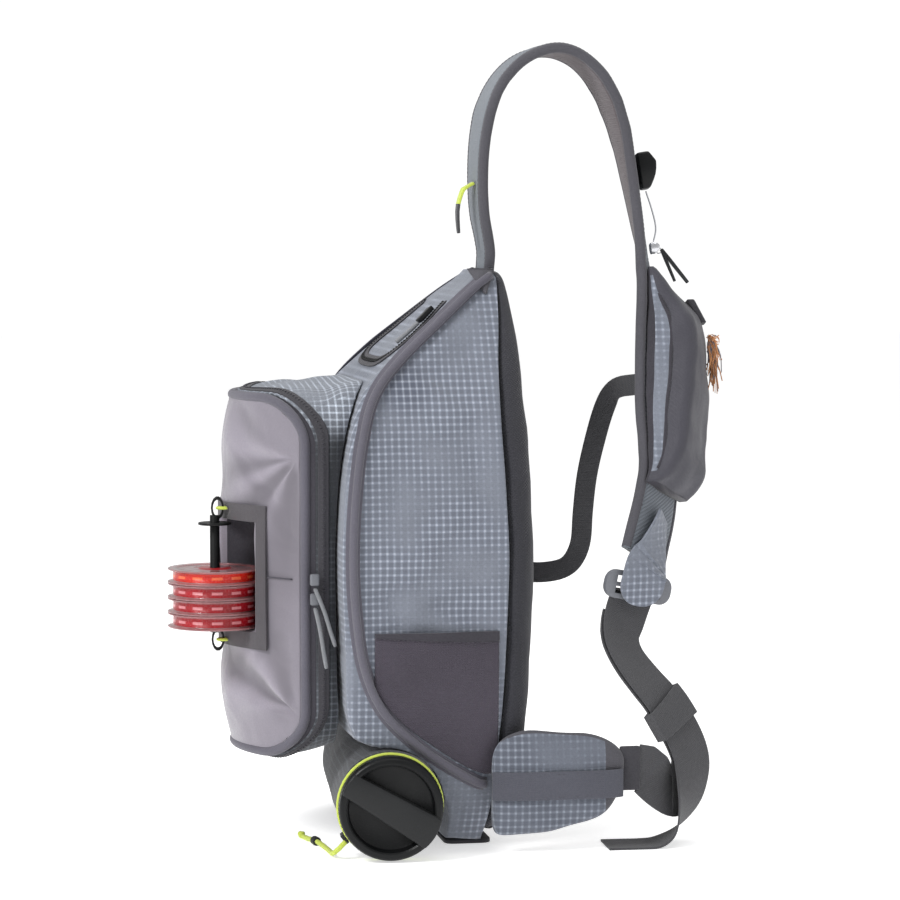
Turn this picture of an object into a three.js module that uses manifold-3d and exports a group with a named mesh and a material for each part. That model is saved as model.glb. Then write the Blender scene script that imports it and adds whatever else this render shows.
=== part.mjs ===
// Sling bag for fishing tackle, standing on its sole with its strap loop up.
// Millimetres. +Z is up, +X points to the wearer's back, -Y is the side that carries the hip wing.
// The origin is on the floor under the middle of the bag.

import * as THREE from 'three';
import { mergeVertices } from 'three/addons/utils/BufferGeometryUtils.js';
import Module from 'manifold-3d';

const wasm = await Module();
wasm.setup();

// Driving dimensions: clearances
const SEAT = 0.4;
const SKIN_GAP = 0.9;

// Driving dimensions: main bag
const BAG_HEIGHT = 446;
const BAG_HALF_WIDTH = 122;
const BAG_FRONT = 104;
const BAG_BACK = 49;
const FLANK_BULGE = 4;
const CLOTH = 2;
const BACK_PAD = 26;
const SOLE_THICK = 3;
const PIPING_RADIUS = 3.2;
const ZIPPER_WIDTH = 11;
const ZIPPER_THICK = 2;

// Driving dimensions: front pocket
const POCKET_HALF_WIDTH = 94;
const POCKET_TOP = 361;
const POCKET_BOTTOM = 78;
const POCKET_CORNER = 40;
const LID_SAG = 9;
const LID_REACH = 184;
const LID_SIDE_REACH = 126;
const LID_THICK = 2.4;
const GUSSET_PUFF = 1.6;
const LID_PIPING_RADIUS = 3.8;

// Driving dimensions: spool rack
const RACK_SIDE = -26;
const RACK_STANDOFF = 12;
const RACK_MIDDLE = 209;
const SPOOL_RADIUS = 37;
const SPOOL_THICK = 11.2;
const SPOOL_COUNT = 4;
const SPOOL_GAP = 0.4;
const SPOOL_CLEARANCE = 3.2;
const BAR_RADIUS = 3.8;
const BAR_LENGTH = 92;
const BAR_EYE_HALF_WIDTH = 4.3;
const BAR_EYE_HEIGHT = 15.4;
const WIRE_RADIUS = 0.9;
const WINDOW_HEIGHT = 86;
const PATCH_BORDER = 11;
const PATCH_THICK = 1.5;

// Driving dimensions: bottle
const SLEEVE_RADIUS = 41;
const SLEEVE_LENGTH = 236;
const SLEEVE_MOUTH = 132;
const BOTTLE_FRONT = 81;
const BOTTLE_TURN = 4.9;
const BOTTLE_WALL = 1.6;
const CAP_RADIUS = 39.6;
const CAP_LENGTH = 15;
const CAP_GRIP_HEIGHT = 8;
const DRAWCORD_RADIUS = 1.7;

// Driving dimensions: hip wing, shoulder strap and webbing
const WING_REACH = 114;
const WING_TOP = 99;
const WING_THICK = 16;
const STRAP_RISE = 175;
const STRAP_OUT = 127;
const STRAP_WIDTH = 64;
const STRAP_THICK = 8;
const STRAP_POCKET_WIDTH = 52;
const STRAP_POCKET_DEPTH = 38;
const WEBBING_WIDTH = 38;
const WEBBING_THICK = 1.6;
const STABILISER_WIDTH = 17;
const BUCKLE_WIDTH = 58;
const BUCKLE_HEIGHT = 22;
const BUCKLE_THICK = 5;

// Materials
const cloth = (color) => new THREE.MeshStandardMaterial({ color, roughness: 0.85, metalness: 0 });
const plastic = (color) => new THREE.MeshStandardMaterial({ color, roughness: 0.45, metalness: 0 });
const gridCloth = cloth(0x8f96a3);
const lidCloth = cloth(0xa39ca8);
const bindingCloth = cloth(0x6b6875);
const padCloth = cloth(0x3d3d45);
const meshCloth = cloth(0x504c56);
const strapCloth = cloth(0x7b8088);
const webbingCloth = cloth(0x58585b);
const darkPlastic = plastic(0x232526);
const redPlastic = plastic(0xb8242c);
const limeCord = cloth(0xc8d94e);
const steelWire = new THREE.MeshStandardMaterial({ color: 0x2a2b2d, roughness: 0.4, metalness: 0.8 });
const flyFibre = cloth(0xc8854a);

// Shape tools

const vec = (x, y, z) => new THREE.Vector3(x, y, z);
const mix = (a, b, t) => a + (b - a) * t;
const degrees = (angle) => (angle * Math.PI) / 180;
const along = (p, direction, distance) => p.clone().addScaledVector(direction, distance);

/** Smooth curve through one column of a table, which never swings past its rows. */
function column(rows, place, key) {
  const x = rows.map((row) => row[place]);
  const y = rows.map((row) => row[key]);
  const last = x.length - 1;
  const slope = (i) => (y[i + 1] - y[i]) / (x[i + 1] - x[i]);
  const tangent = x.map((_, i) => {
    if (i === 0) return slope(0);
    if (i === last) return slope(last - 1);
    const before = slope(i - 1);
    const after = slope(i);
    return before * after <= 0 ? 0 : (2 * before * after) / (before + after);
  });
  return (at) => {
    const t = Math.min(Math.max(at, x[0]), x[last]);
    let i = 0;
    while (i < last - 1 && t > x[i + 1]) i += 1;
    const span = x[i + 1] - x[i];
    const s = (t - x[i]) / span;
    const rise = s * s * (3 - 2 * s);
    const lead = s * (1 - s) * (1 - s) * span * tangent[i];
    const trail = s * s * (s - 1) * span * tangent[i + 1];
    return mix(y[i], y[i + 1], rise) + lead + trail;
  };
}

/** Closed skin over rings of equal length; an open run of rings is capped at both ends. */
function skin(rings, closed = false) {
  const n = rings[0].length;
  const index = [];
  const at = (i, j) => (i % rings.length) * n + (j % n);
  const spans = closed ? rings.length : rings.length - 1;
  for (let i = 0; i < spans; i += 1) {
    for (let j = 0; j < n; j += 1) {
      index.push(at(i, j), at(i, j + 1), at(i + 1, j + 1));
      index.push(at(i, j), at(i + 1, j + 1), at(i + 1, j));
    }
  }
  if (!closed) {
    for (let j = 0; j < n / 2 - 1; j += 1) {
      index.push(at(0, j), at(0, n - 2 - j), at(0, j + 1));
      index.push(at(0, j), at(0, n - 1 - j), at(0, n - 2 - j));
      const end = rings.length - 1;
      index.push(at(end, j), at(end, j + 1), at(end, n - 2 - j));
      index.push(at(end, j), at(end, n - 2 - j), at(end, n - 1 - j));
    }
  }
  const geometry = new THREE.BufferGeometry();
  const flat = rings.flat().flatMap((p) => [p.x, p.y, p.z]);
  geometry.setAttribute('position', new THREE.Float32BufferAttribute(flat, 3));
  geometry.setIndex(index);
  return facingOut(geometry);
}

/** Turns the faces of a closed mesh outwards. */
function facingOut(geometry) {
  const p = geometry.getAttribute('position');
  const index = geometry.getIndex().array;
  const [a, b, c] = [vec(), vec(), vec()];
  let volume = 0;
  for (let i = 0; i < index.length; i += 3) {
    a.fromBufferAttribute(p, index[i]);
    b.fromBufferAttribute(p, index[i + 1]);
    c.fromBufferAttribute(p, index[i + 2]);
    volume += a.dot(b.cross(c));
  }
  if (volume < 0) geometry.setIndex(Array.from(index).reverse());
  return geometry;
}

/** A closed geometry as a solid that can be joined and cut. */
function solid(geometry) {
  const bare = geometry.clone();
  bare.deleteAttribute('normal');
  bare.deleteAttribute('uv');
  const merged = mergeVertices(bare, 1e-4);
  return new wasm.Manifold(new wasm.Mesh({
    numProp: 3,
    vertProperties: new Float32Array(merged.getAttribute('position').array),
    triVerts: new Uint32Array(merged.getIndex().array),
  }));
}

/** The largest body of a cut solid, without its offcuts. */
function largest(manifold) {
  return manifold.decompose().reduce((a, b) => (a.volume() > b.volume() ? a : b));
}

/** A solid back as a geometry. */
function shape(manifold) {
  const mesh = manifold.getMesh();
  const geometry = new THREE.BufferGeometry();
  geometry.setAttribute('position', new THREE.Float32BufferAttribute(mesh.vertProperties, 3));
  geometry.setIndex(Array.from(mesh.triVerts));
  return geometry;
}

/** Rings of a section carried along stations {p, w, n}; the section is a list of [across, out]. */
function sweep(stations, section, closed = false) {
  const profile = typeof section === 'function' ? section : () => section;
  return skin(stations.map((s, i) => profile(i, s).map(
    ([across, out]) => along(along(s.p, s.w, across), s.n, out),
  )), closed);
}

/** Round section with a given count of sides. */
function round(radius, sides) {
  return Array.from({ length: sides }, (_, i) => {
    const angle = (2 * Math.PI * (i + 0.5)) / sides;
    return [radius * Math.cos(angle), radius * Math.sin(angle)];
  });
}

/** Flat section, its corners cut off by `cut`. */
function flat(width, thick, cut = thick * 0.3, low = -thick / 2) {
  const w = width / 2;
  const high = low + thick;
  return [
    [-w, low + cut], [-w, high - cut], [-w + cut, high], [w - cut, high],
    [w, high - cut], [w, low + cut], [w - cut, low], [-w + cut, low],
  ];
}

/** Plain oblong section. */
function oblong(width, low, high) {
  return [[-width / 2, low], [-width / 2, high], [width / 2, high], [width / 2, low]];
}

/** Stations along points, with a given outward direction at each point. */
function route(points, outward, closed = false) {
  const last = points.length - 1;
  return points.map((p, i) => {
    const before = closed ? points[(i + last) % (last + 1)] : points[Math.max(i - 1, 0)];
    const after = closed ? points[(i + 1) % (last + 1)] : points[Math.min(i + 1, last)];
    const t = after.clone().sub(before).normalize();
    const n = outward(i).clone();
    n.addScaledVector(t, -n.dot(t)).normalize();
    return { p, t, n, w: n.clone().cross(t) };
  });
}

/** Stations of a strap through table rows {x, y, z, facing, lift}; other columns ride along smoothly. */
function strapRoute(rows, count) {
  const curve = new THREE.CatmullRomCurve3(rows.map((r) => vec(r.x, r.y, r.z)), false, 'centripetal');
  const numbered = rows.map((row, i) => ({ lift: 0, ...row, i }));
  const keys = Object.keys(numbered[0]).filter((key) => !['x', 'y', 'z', 'i'].includes(key));
  const columns = keys.map((key) => [key, column(numbered, 'i', key)]);
  return Array.from({ length: count }, (_, k) => {
    const share = k / (count - 1);
    const t = curve.getTangent(share);
    const values = Object.fromEntries(columns.map(([key, of]) => [key, of(share * (rows.length - 1))]));
    const turn = degrees(values.facing);
    const tilt = degrees(values.lift);
    const w = vec(Math.sin(turn) * Math.cos(tilt), Math.cos(turn) * Math.cos(tilt), Math.sin(tilt));
    w.addScaledVector(t, -w.dot(t)).normalize();
    return { ...values, p: curve.getPoint(share), t, w, n: t.clone().cross(w) };
  });
}

/** The facing and lift of a strap whose width runs along a direction. */
function facingOf(w) {
  const turn = Math.atan2(w.x, w.y);
  return { facing: THREE.MathUtils.radToDeg(turn), lift: THREE.MathUtils.radToDeg(Math.asin(w.z)) };
}

/** A solid of revolution about +Y through profile points [radius, y]. */
function turned(profile, segments = 24) {
  return facingOut(new THREE.LatheGeometry(profile.map(([r, y]) => new THREE.Vector2(r, y)), segments));
}

/** A solid of revolution about +Z standing at (x, y). */
function turnedUp(profile, x, y, segments) {
  return turned(profile, segments).rotateX(Math.PI / 2).translate(x, y, 0);
}

/** A block given by its lowest and highest corner. */
function block(low, high) {
  const size = high.clone().sub(low);
  const middle = high.clone().add(low).multiplyScalar(0.5);
  return new THREE.BoxGeometry(size.x, size.y, size.z).translate(middle.x, middle.y, middle.z);
}

/** A thin closed piece over surface(u, v) -> point, between two distances off it. */
function overlay(surface, us, vs, low, high) {
  const step = 0.01;
  const lift = (u, v, off) => {
    const p = surface(u, v);
    const du = surface(u + step, v).sub(p);
    const dv = surface(u, v + step).sub(p);
    return along(p, du.cross(dv).normalize(), off);
  };
  return skin(vs.map((v) => [
    ...us.map((u) => lift(u, v, low)),
    ...[...us].reverse().map((u) => lift(u, v, high)),
  ]));
}

const shares = (count) => Array.from({ length: count + 1 }, (_, i) => i / count);

// Main bag: level sections. up is a share of BAG_HEIGHT, front of BAG_FRONT, back of BAG_BACK,
// half of BAG_HALF_WIDTH and pad of BACK_PAD.
const bagRows = [
  { up: 0.008, front: 0.180, back: 0.37, half: 0.69, pad: 0.40 },
  { up: 0.054, front: 0.200, back: 0.51, half: 0.82, pad: 0.55 },
  { up: 0.094, front: 0.270, back: 0.63, half: 0.89, pad: 0.70 },
  { up: 0.135, front: 0.390, back: 0.73, half: 0.94, pad: 0.85 },
  { up: 0.170, front: 0.600, back: 0.81, half: 0.97, pad: 0.95 },
  { up: 0.200, front: 0.930, back: 0.85, half: 0.985, pad: 1.0 },
  { up: 0.271, front: 0.985, back: 0.91, half: 1.0, pad: 1.0 },
  { up: 0.380, front: 0.995, back: 0.96, half: 1.01, pad: 1.0 },
  { up: 0.509, front: 1.000, back: 1.0, half: 1.01, pad: 1.0 },
  { up: 0.612, front: 0.982, back: 0.96, half: 1.0, pad: 1.0 },
  { up: 0.715, front: 0.925, back: 0.92, half: 0.94, pad: 1.0 },
  { up: 0.783, front: 0.830, back: 0.90, half: 0.84, pad: 0.95 },
  { up: 0.841, front: 0.610, back: 0.88, half: 0.72, pad: 0.85 },
  { up: 0.897, front: 0.330, back: 0.86, half: 0.60, pad: 0.70 },
  { up: 0.957, front: 0.050, back: 0.81, half: 0.44, pad: 0.50 },
  { up: 0.989, front: -0.120, back: 0.750, half: 0.33, pad: 0.35 },
  { up: 1.000, front: -0.155, back: 0.65, half: 0.28, pad: 0.30 },
];
// Dents and folds in the flanks: place, reach and depth as shares of BAG_FRONT, BAG_HEIGHT and BAG_HALF_WIDTH.
const flankFolds = [
  { out: -0.15, up: 0.43, reach: 0.42, rise: 0.030, deep: 0.028 },
  { out: -0.62, up: 0.74, reach: 0.35, rise: 0.060, deep: 0.022 },
  { out: -0.20, up: 0.80, reach: 0.40, rise: 0.035, deep: 0.020 },
  { out: -0.05, up: 0.62, reach: 0.30, rise: 0.090, deep: -0.018 },
];
const bagColumn = Object.fromEntries(
  ['front', 'back', 'half', 'pad'].map((key) => [key, column(bagRows, 'up', key)]),
);
const bagFront = (z) => -BAG_FRONT * bagColumn.front(z / BAG_HEIGHT);
const bagBack = (z) => BAG_BACK * bagColumn.back(z / BAG_HEIGHT);
const bagHalf = (z) => BAG_HALF_WIDTH * bagColumn.half(z / BAG_HEIGHT);
const bagRim = (z) => bagBack(z) - BACK_PAD * bagColumn.pad(z / BAG_HEIGHT);
const BAG_TOP_X = (bagFront(BAG_HEIGHT) + bagBack(BAG_HEIGHT)) / 2;
const CORNER_SHARE = 0.07;
const CORNER_GROWTH = 0.12;
const cornerRadius = (z) => bagHalf(z) * (CORNER_SHARE + CORNER_GROWTH * Math.max(0, z / BAG_HEIGHT - 0.7) / 0.3);
const SLICE_SIDE_STEPS = 7;

/** Sideways reach of the flank at a place, bulged between its edges and dented by the folds. */
function flankReach(x, z) {
  const s = Math.min(Math.max((x - bagFront(z)) / (bagRim(z) - bagFront(z)), 0), 1);
  const fade = 4 * s * (1 - s);
  const slim = Math.min(1, bagHalf(z) / BAG_HALF_WIDTH);
  const dents = flankFolds.reduce((sum, fold) => {
    const du = (x / BAG_FRONT - fold.out) / fold.reach;
    const dv = (z / BAG_HEIGHT - fold.up + du * fold.rise) / fold.rise;
    return sum + fold.deep * BAG_HALF_WIDTH * Math.exp(-du * du - dv * dv);
  }, 0);
  return bagHalf(z) + fade * (FLANK_BULGE * slim - dents);
}

/** Level slice of the bag between two X values, inset on its flanks, with an even count of points. */
function slice(z, x0, x1, inset, corner) {
  const flank = shares(SLICE_SIDE_STEPS).map((s) => mix(x0 + corner, x1 - 1, s));
  const reach = (x) => flankReach(x, z) - inset;
  const turnPoints = [0.25, 0.6].map((s) => {
    const angle = (s * Math.PI) / 2;
    return [x0 + corner * (1 - Math.sin(angle)), reach(x0 + corner) - corner * (1 - Math.cos(angle))];
  });
  const half = [
    [x0, (reach(x0 + corner) - corner) / 2],
    [x0, reach(x0 + corner) - corner],
    ...turnPoints,
    ...flank.map((x) => [x, reach(x)]),
    [x1, reach(x1) - 1],
  ];
  const near = half.map(([x, y]) => vec(x, -y, z));
  const far = half.map(([x, y]) => vec(x, y, z)).reverse();
  return [...near, ...far];
}

// Bottle line: the sleeve lies under the bag on the floor, turned a little away from square.
const sleeveAxis = vec(Math.sin(degrees(BOTTLE_TURN)), Math.cos(degrees(BOTTLE_TURN)), 0);
const SLEEVE_HEIGHT = SLEEVE_RADIUS;
const MOUTH = vec(-BOTTLE_FRONT + SLEEVE_MOUTH * Math.tan(degrees(BOTTLE_TURN)), -SLEEVE_MOUTH, SLEEVE_HEIGHT);

/** Places a shape turned about +Y so that its y = 0 lies in the mouth of the sleeve. */
function onBottleLine(geometry) {
  return geometry.rotateZ(-degrees(BOTTLE_TURN)).translate(MOUTH.x, MOUTH.y, MOUTH.z);
}

function bottleCutter(radius, beyond) {
  return solid(onBottleLine(turned([
    [0, -beyond], [radius, -beyond], [radius, SLEEVE_LENGTH + beyond], [0, SLEEVE_LENGTH + beyond],
  ], 40)));
}

// Pieces of the main bag

const SHELL_LOW = SOLE_THICK + SEAT;

function mainShell() {
  const levels = [...bagRows.slice(1).map((row) => row.up), 0.32, 0.44, 0.56, 0.66, 0.81]
    .map((up) => up * BAG_HEIGHT)
    .filter((z) => z > SHELL_LOW + CLOTH)
    .sort((a, b) => a - b);
  const outer = [SHELL_LOW, ...levels].map((z) => slice(z, bagFront(z), bagRim(z), 0, cornerRadius(z)));
  const top = BAG_HEIGHT - 4 * CLOTH;
  const innerLevels = [SHELL_LOW + CLOTH, ...levels.filter((z) => z > SHELL_LOW + 2 * CLOTH && z < top), top];
  const inner = innerLevels.map((z) => slice(
    z, bagFront(z) + CLOTH, bagRim(z) + BACK_PAD, CLOTH, cornerRadius(z),
  ));
  const body = solid(skin(outer)).subtract(bottleCutter(SLEEVE_RADIUS + SEAT, SEAT));
  const hollow = solid(skin(inner)).subtract(bottleCutter(SLEEVE_RADIUS + SEAT + CLOTH, SEAT + CLOTH));
  return shape(largest(body.subtract(hollow)));
}

function backPanel() {
  const levels = [SHELL_LOW, ...bagRows.slice(1).map((row) => row.up * BAG_HEIGHT)];
  const edge = 0.32;
  return skin(levels.map((z) => {
    const x0 = bagRim(z) + SEAT + 0.5;
    const x1 = bagBack(z);
    const half = bagHalf(z) - 1;
    const cut = edge * (x1 - x0);
    const side = [
      [x0, half / 2], [x0, half], [x1 - cut * 2, half + 1], [x1 - cut, half - cut * 0.4],
      [x1 - cut * 0.3, half - cut * 1.2], [x1, half - cut * 2.4], [x1, half / 3],
    ];
    const near = side.map(([x, y]) => vec(x, -y, z));
    const far = side.map(([x, y]) => vec(x, y, z)).reverse();
    return [...near, ...far];
  }));
}

function basePanel() {
  const front = bagFront(SHELL_LOW);
  const back = bagBack(SHELL_LOW);
  const half = bagHalf(SHELL_LOW);
  const corner = Math.min(8, half / 4);
  const outline = new THREE.Shape();
  outline.moveTo(front + corner, -half);
  outline.lineTo(back - corner, -half);
  outline.quadraticCurveTo(back, -half, back, -half + corner);
  outline.lineTo(back, half - corner);
  outline.quadraticCurveTo(back, half, back - corner, half);
  outline.lineTo(front + corner, half);
  outline.quadraticCurveTo(front, half, front, half - corner);
  outline.lineTo(front, -half + corner);
  outline.quadraticCurveTo(front, -half, front + corner, -half);
  return new THREE.ExtrudeGeometry(outline, { depth: SOLE_THICK, bevelEnabled: false, curveSegments: 4 });
}

/** Point off the flank, with its outward direction; side is -1 near and 1 far. */
function offFlank(x, z, side, off) {
  const step = 0.5;
  const base = vec(x, flankReach(x, z), z);
  const dx = vec(x + step, flankReach(x + step, z), z).sub(base);
  const dz = vec(x, flankReach(x, z + step), z + step).sub(base);
  const n = dz.cross(dx).normalize();
  const p = along(base, n, off);
  return { p: vec(p.x, side * p.y, p.z), n: vec(n.x, side * n.y, n.z) };
}

// Piping round the front of each flank: out is a share of BAG_FRONT, up of BAG_HEIGHT.
const pipingRows = [
  { out: 0.225, up: 0.985 }, { out: 0.055, up: 0.957 }, { out: -0.245, up: 0.899 }, { out: -0.515, up: 0.845 },
  { out: -0.735, up: 0.785 }, { out: -0.840, up: 0.715 }, { out: -0.905, up: 0.612 }, { out: -0.925, up: 0.509 },
  { out: -0.905, up: 0.415 }, { out: -0.850, up: 0.330 }, { out: -0.735, up: 0.262 }, { out: -0.560, up: 0.213 },
  { out: -0.320, up: 0.170 }, { out: -0.030, up: 0.128 }, { out: 0.060, up: 0.120 },
];

function bagPiping(side) {
  const curve = new THREE.CatmullRomCurve3(pipingRows.map((r) => vec(r.out * BAG_FRONT, 0, r.up * BAG_HEIGHT)));
  const places = curve.getSpacedPoints(32).map((q) => offFlank(q.x, q.z, side, PIPING_RADIUS + SKIN_GAP));
  return sweep(route(places.map((q) => q.p), (i) => places[i].n), round(PIPING_RADIUS, 6));
}

const pipingLow = column(pipingRows.slice(8), 'out', 'up');

function sideMeshPocket() {
  const top = 0.385 * BAG_HEIGHT;
  const left = -0.77 * BAG_FRONT;
  const right = bagRim(top) - 0.05 * BAG_FRONT;
  const hem = 2 * PIPING_RADIUS + SKIN_GAP;
  const surface = (u, v) => {
    const x = mix(left, right, u);
    const low = Math.min(pipingLow(x / BAG_FRONT) * BAG_HEIGHT + hem, top - hem);
    return offFlank(x, mix(low, top, v), -1, 0).p;
  };
  return overlay(surface, shares(8), shares(4), SKIN_GAP + 0.4, SKIN_GAP + 1.8);
}

// Main zipper: a U on the sloping front, its legs converging to the top like the flanks do.
const ZIPPER_HIGH = 0.965;
const ZIPPER_LOW = 0.838;
const ZIPPER_MARGIN = 0.13;
const ZIPPER_LIFT = SEAT + 0.2;

function zipperPlace(share, off) {
  const angle = Math.PI * share;
  const sag = Math.sqrt(Math.sin(angle));
  const z = mix(ZIPPER_HIGH, ZIPPER_LOW, sag) * BAG_HEIGHT;
  const spread = bagHalf(z) - ZIPPER_MARGIN * BAG_HALF_WIDTH;
  const side = -Math.sign(Math.cos(angle)) * Math.sqrt(Math.abs(Math.cos(angle))) * spread;
  const step = 0.5;
  const n = vec(-step * 2, 0, bagFront(z - step) - bagFront(z + step)).normalize().multiply(vec(1, 1, -1));
  return { p: along(vec(bagFront(z), side, z), n, off), n };
}

/** A run of the main zipper between two shares of its U, in a section. */
function zipperRun(from, to, count, off, section) {
  const places = shares(count).map((s) => zipperPlace(mix(from, to, s), off));
  return sweep(route(places.map((q) => q.p), (i) => places[i].n), section);
}

const mainZipper = () => zipperRun(
  0.01, 0.99, 36, ZIPPER_LIFT + ZIPPER_THICK / 2, oblong(ZIPPER_WIDTH, -ZIPPER_THICK / 2, ZIPPER_THICK / 2),
);
const mainSlider = () => zipperRun(
  0.030, 0.075, 3, ZIPPER_LIFT + ZIPPER_THICK + SEAT, oblong(ZIPPER_WIDTH * 0.75, 0, 4),
);
const mainPull = () => zipperRun(
  0.082, 0.2, 8, ZIPPER_LIFT + ZIPPER_THICK + SEAT, flat(ZIPPER_WIDTH * 0.5, 3.4, 1, 0),
);

// Front pocket

/** Reach of the lid's outer face ahead of the origin, crowned across and drawn in at its top and bottom. */
function lidFace(y, z) {
  const across = Math.min(Math.max(y / POCKET_HALF_WIDTH, -1), 1);
  const middle = (POCKET_TOP + POCKET_BOTTOM) / 2 - LID_SAG;
  const up = (z - middle) / ((POCKET_TOP - POCKET_BOTTOM) / 2);
  const crown = LID_REACH - 9 * Math.min(1, up ** 4) - lidFolds.reduce((sum, fold) => {
    const du = (across - fold.side - fold.lean * (up - fold.up)) / fold.reach;
    const dv = (up - fold.up) / fold.rise;
    return sum + fold.deep * LID_REACH * Math.exp(-du * du - dv * dv);
  }, 0);
  return -mix(crown, LID_SIDE_REACH, across * across);
}

// Folds of the lid: side and reach are shares of POCKET_HALF_WIDTH, up and rise of half its height, deep of LID_REACH.
const lidFolds = [
  { side: -0.62, up: 0.62, reach: 0.16, rise: 0.30, lean: 1.2, deep: 0.022 },
  { side: -0.30, up: 0.74, reach: 0.22, rise: 0.22, lean: 0.8, deep: -0.012 },
  { side: -0.55, up: -0.62, reach: 0.16, rise: 0.24, lean: -1.3, deep: 0.022 },
  { side: -0.20, up: -0.70, reach: 0.24, rise: 0.20, lean: -0.8, deep: -0.010 },
  { side: 0.55, up: 0.55, reach: 0.20, rise: 0.28, lean: -1.0, deep: 0.018 },
  { side: 0.50, up: -0.60, reach: 0.20, rise: 0.26, lean: 1.0, deep: 0.018 },
];

/** Rounded outline of the pocket seen from the front, inset, lowered and pulled towards its middle. */
function pocketOutline(inset, lower = 0, spread = 1) {
  const half = POCKET_HALF_WIDTH - inset;
  const top = POCKET_TOP - inset - lower;
  const bottom = POCKET_BOTTOM + inset - lower;
  const r = Math.max(POCKET_CORNER - inset, 4);
  const middle = (top + bottom) / 2;
  const corner = (y, z, start) => shares(4).map((s) => {
    const angle = start + (s * Math.PI) / 2;
    return [y + r * Math.cos(angle), z + r * Math.sin(angle)];
  });
  const edge = (from, to, count) => shares(count).slice(1, -1).map((s) => [mix(from[0], to[0], s), mix(from[1], to[1], s)]);
  const corners = [
    corner(half - r, top - r, 0), corner(-half + r, top - r, Math.PI / 2),
    corner(-half + r, bottom + r, Math.PI), corner(half - r, bottom + r, 1.5 * Math.PI),
  ];
  const steps = [6, 6, 6, 6];
  return corners.flatMap((run, i) => [...run, ...edge(run.at(-1), corners[(i + 1) % 4][0], steps[i])])
    .map(([y, z]) => [y * spread, middle + (z - middle) * spread]);
}

const LID_INSET = 2 * LID_PIPING_RADIUS + SEAT;
const LID_EDGE_BACK = 2 + 0.72 * LID_PIPING_RADIUS;

const pocketSeam = (z) => bagFront(Math.min(Math.max(z, 0.25 * BAG_HEIGHT), POCKET_TOP)) - 2 * SKIN_GAP;

/** Ring round the side of the pocket, inset; shareAt(depth) is 0 at the bag and 1 at the lid. */
function gussetRing(shareAt, inset) {
  return pocketOutline(0, 0).map(([y0, z0], i) => {
    const front = lidFace(y0, z0 - LID_SAG) + LID_EDGE_BACK + SEAT;
    const back = Math.max(pocketSeam(z0), front + 2);
    const share = shareAt(back - front);
    const puff = GUSSET_PUFF * Math.sin(Math.PI * share);
    const [y, z] = pocketOutline(inset - puff, LID_SAG * share)[i];
    return vec(mix(back, front, share), y, z);
  });
}

function pocketShell() {
  const steps = [0, 0.35, 0.7, 1];
  const outer = steps.map((s) => gussetRing(() => s, 0));
  const inner = [...steps].reverse().map((s) => gussetRing(() => s, CLOTH));
  return skin([...outer, ...inner], true);
}

function lidLayers(offset, spreads) {
  return spreads.map((spread) => pocketOutline(LID_INSET, LID_SAG, spread).map(
    ([y, z]) => vec(lidFace(y, z) + offset, y, z),
  ));
}

const LID_SPREADS = [1, 0.84, 0.66, 0.46, 0.26, 0.08];
const RACK_X = lidFace(RACK_SIDE, RACK_MIDDLE) - RACK_STANDOFF;
const DISH_RADIUS = SPOOL_RADIUS + SPOOL_CLEARANCE;

function rackCylinder(radius, low, high, sides) {
  const middle = (low + high) / 2;
  return new THREE.CylinderGeometry(radius, radius, high - low, sides)
    .rotateX(Math.PI / 2).translate(RACK_X, RACK_SIDE, middle);
}

function pocketLid() {
  const front = lidLayers(0, LID_SPREADS);
  const back = lidLayers(LID_THICK, [...LID_SPREADS].reverse());
  const slab = solid(skin([...[...front].reverse(), ...[...back].reverse()]));
  const deep = pocketOutline(LID_INSET, LID_SAG).map(([y, z]) => vec(-LID_SIDE_REACH, y, z));
  const deepMiddle = pocketOutline(LID_INSET, LID_SAG, 0.08).map(([y, z]) => vec(-LID_SIDE_REACH, y, z));
  const behind = solid(skin([...[...front].reverse(), deep, deepMiddle]));
  const low = RACK_MIDDLE - WINDOW_HEIGHT / 2;
  const high = RACK_MIDDLE + WINDOW_HEIGHT / 2;
  const cup = solid(rackCylinder(DISH_RADIUS + LID_THICK, low - LID_THICK, high + LID_THICK, 32)).intersect(behind);
  return shape(slab.add(cup).subtract(solid(rackCylinder(DISH_RADIUS, low, high, 32))));
}

function pocketPiping() {
  const centre = pocketOutline(LID_PIPING_RADIUS, LID_SAG).map(([y, z]) => vec(lidFace(y, z) + 2, y, z));
  return sweep(route(centre, () => vec(-1, 0, 0), true), round(LID_PIPING_RADIUS, 6), true);
}

const ZIPPER_BEHIND = 2;
const ZIPPER_SEAT = SEAT + 1.1;

function pocketZipper() {
  const ring = (behind, off) => gussetRing((depth) => 1 - Math.min(behind / depth, 0.9), -off);
  const high = ZIPPER_SEAT + ZIPPER_THICK;
  return skin([
    ring(ZIPPER_BEHIND, ZIPPER_SEAT), ring(ZIPPER_BEHIND, high),
    ring(ZIPPER_BEHIND + ZIPPER_WIDTH, high), ring(ZIPPER_BEHIND + ZIPPER_WIDTH, ZIPPER_SEAT),
  ], true);
}

// Sliders on the near side of the pocket, with cord pulls: drop and out are shares of a pull's height and reach.
const pullRows = [
  { drop: 0, out: 0, off: 1 }, { drop: 0.08, out: 0.08, off: 5.2 }, { drop: 0.4, out: 0.45, off: 6.5 },
  { drop: 0.8, out: 0.8, off: 7.5 }, { drop: 1, out: 1, off: 8 },
];
const PULL_LENGTH = 47;
const PULL_RADIUS = 1.9;
const SLIDER_SIZE = 9;
const SLIDER_DEPTH = 7;
const SLIDER_X = lidFace(-POCKET_HALF_WIDTH, RACK_MIDDLE) + LID_EDGE_BACK - 5;
const SLIDER_Y = -POCKET_HALF_WIDTH - GUSSET_PUFF * 0.4 - ZIPPER_SEAT - ZIPPER_THICK - SEAT;

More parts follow.
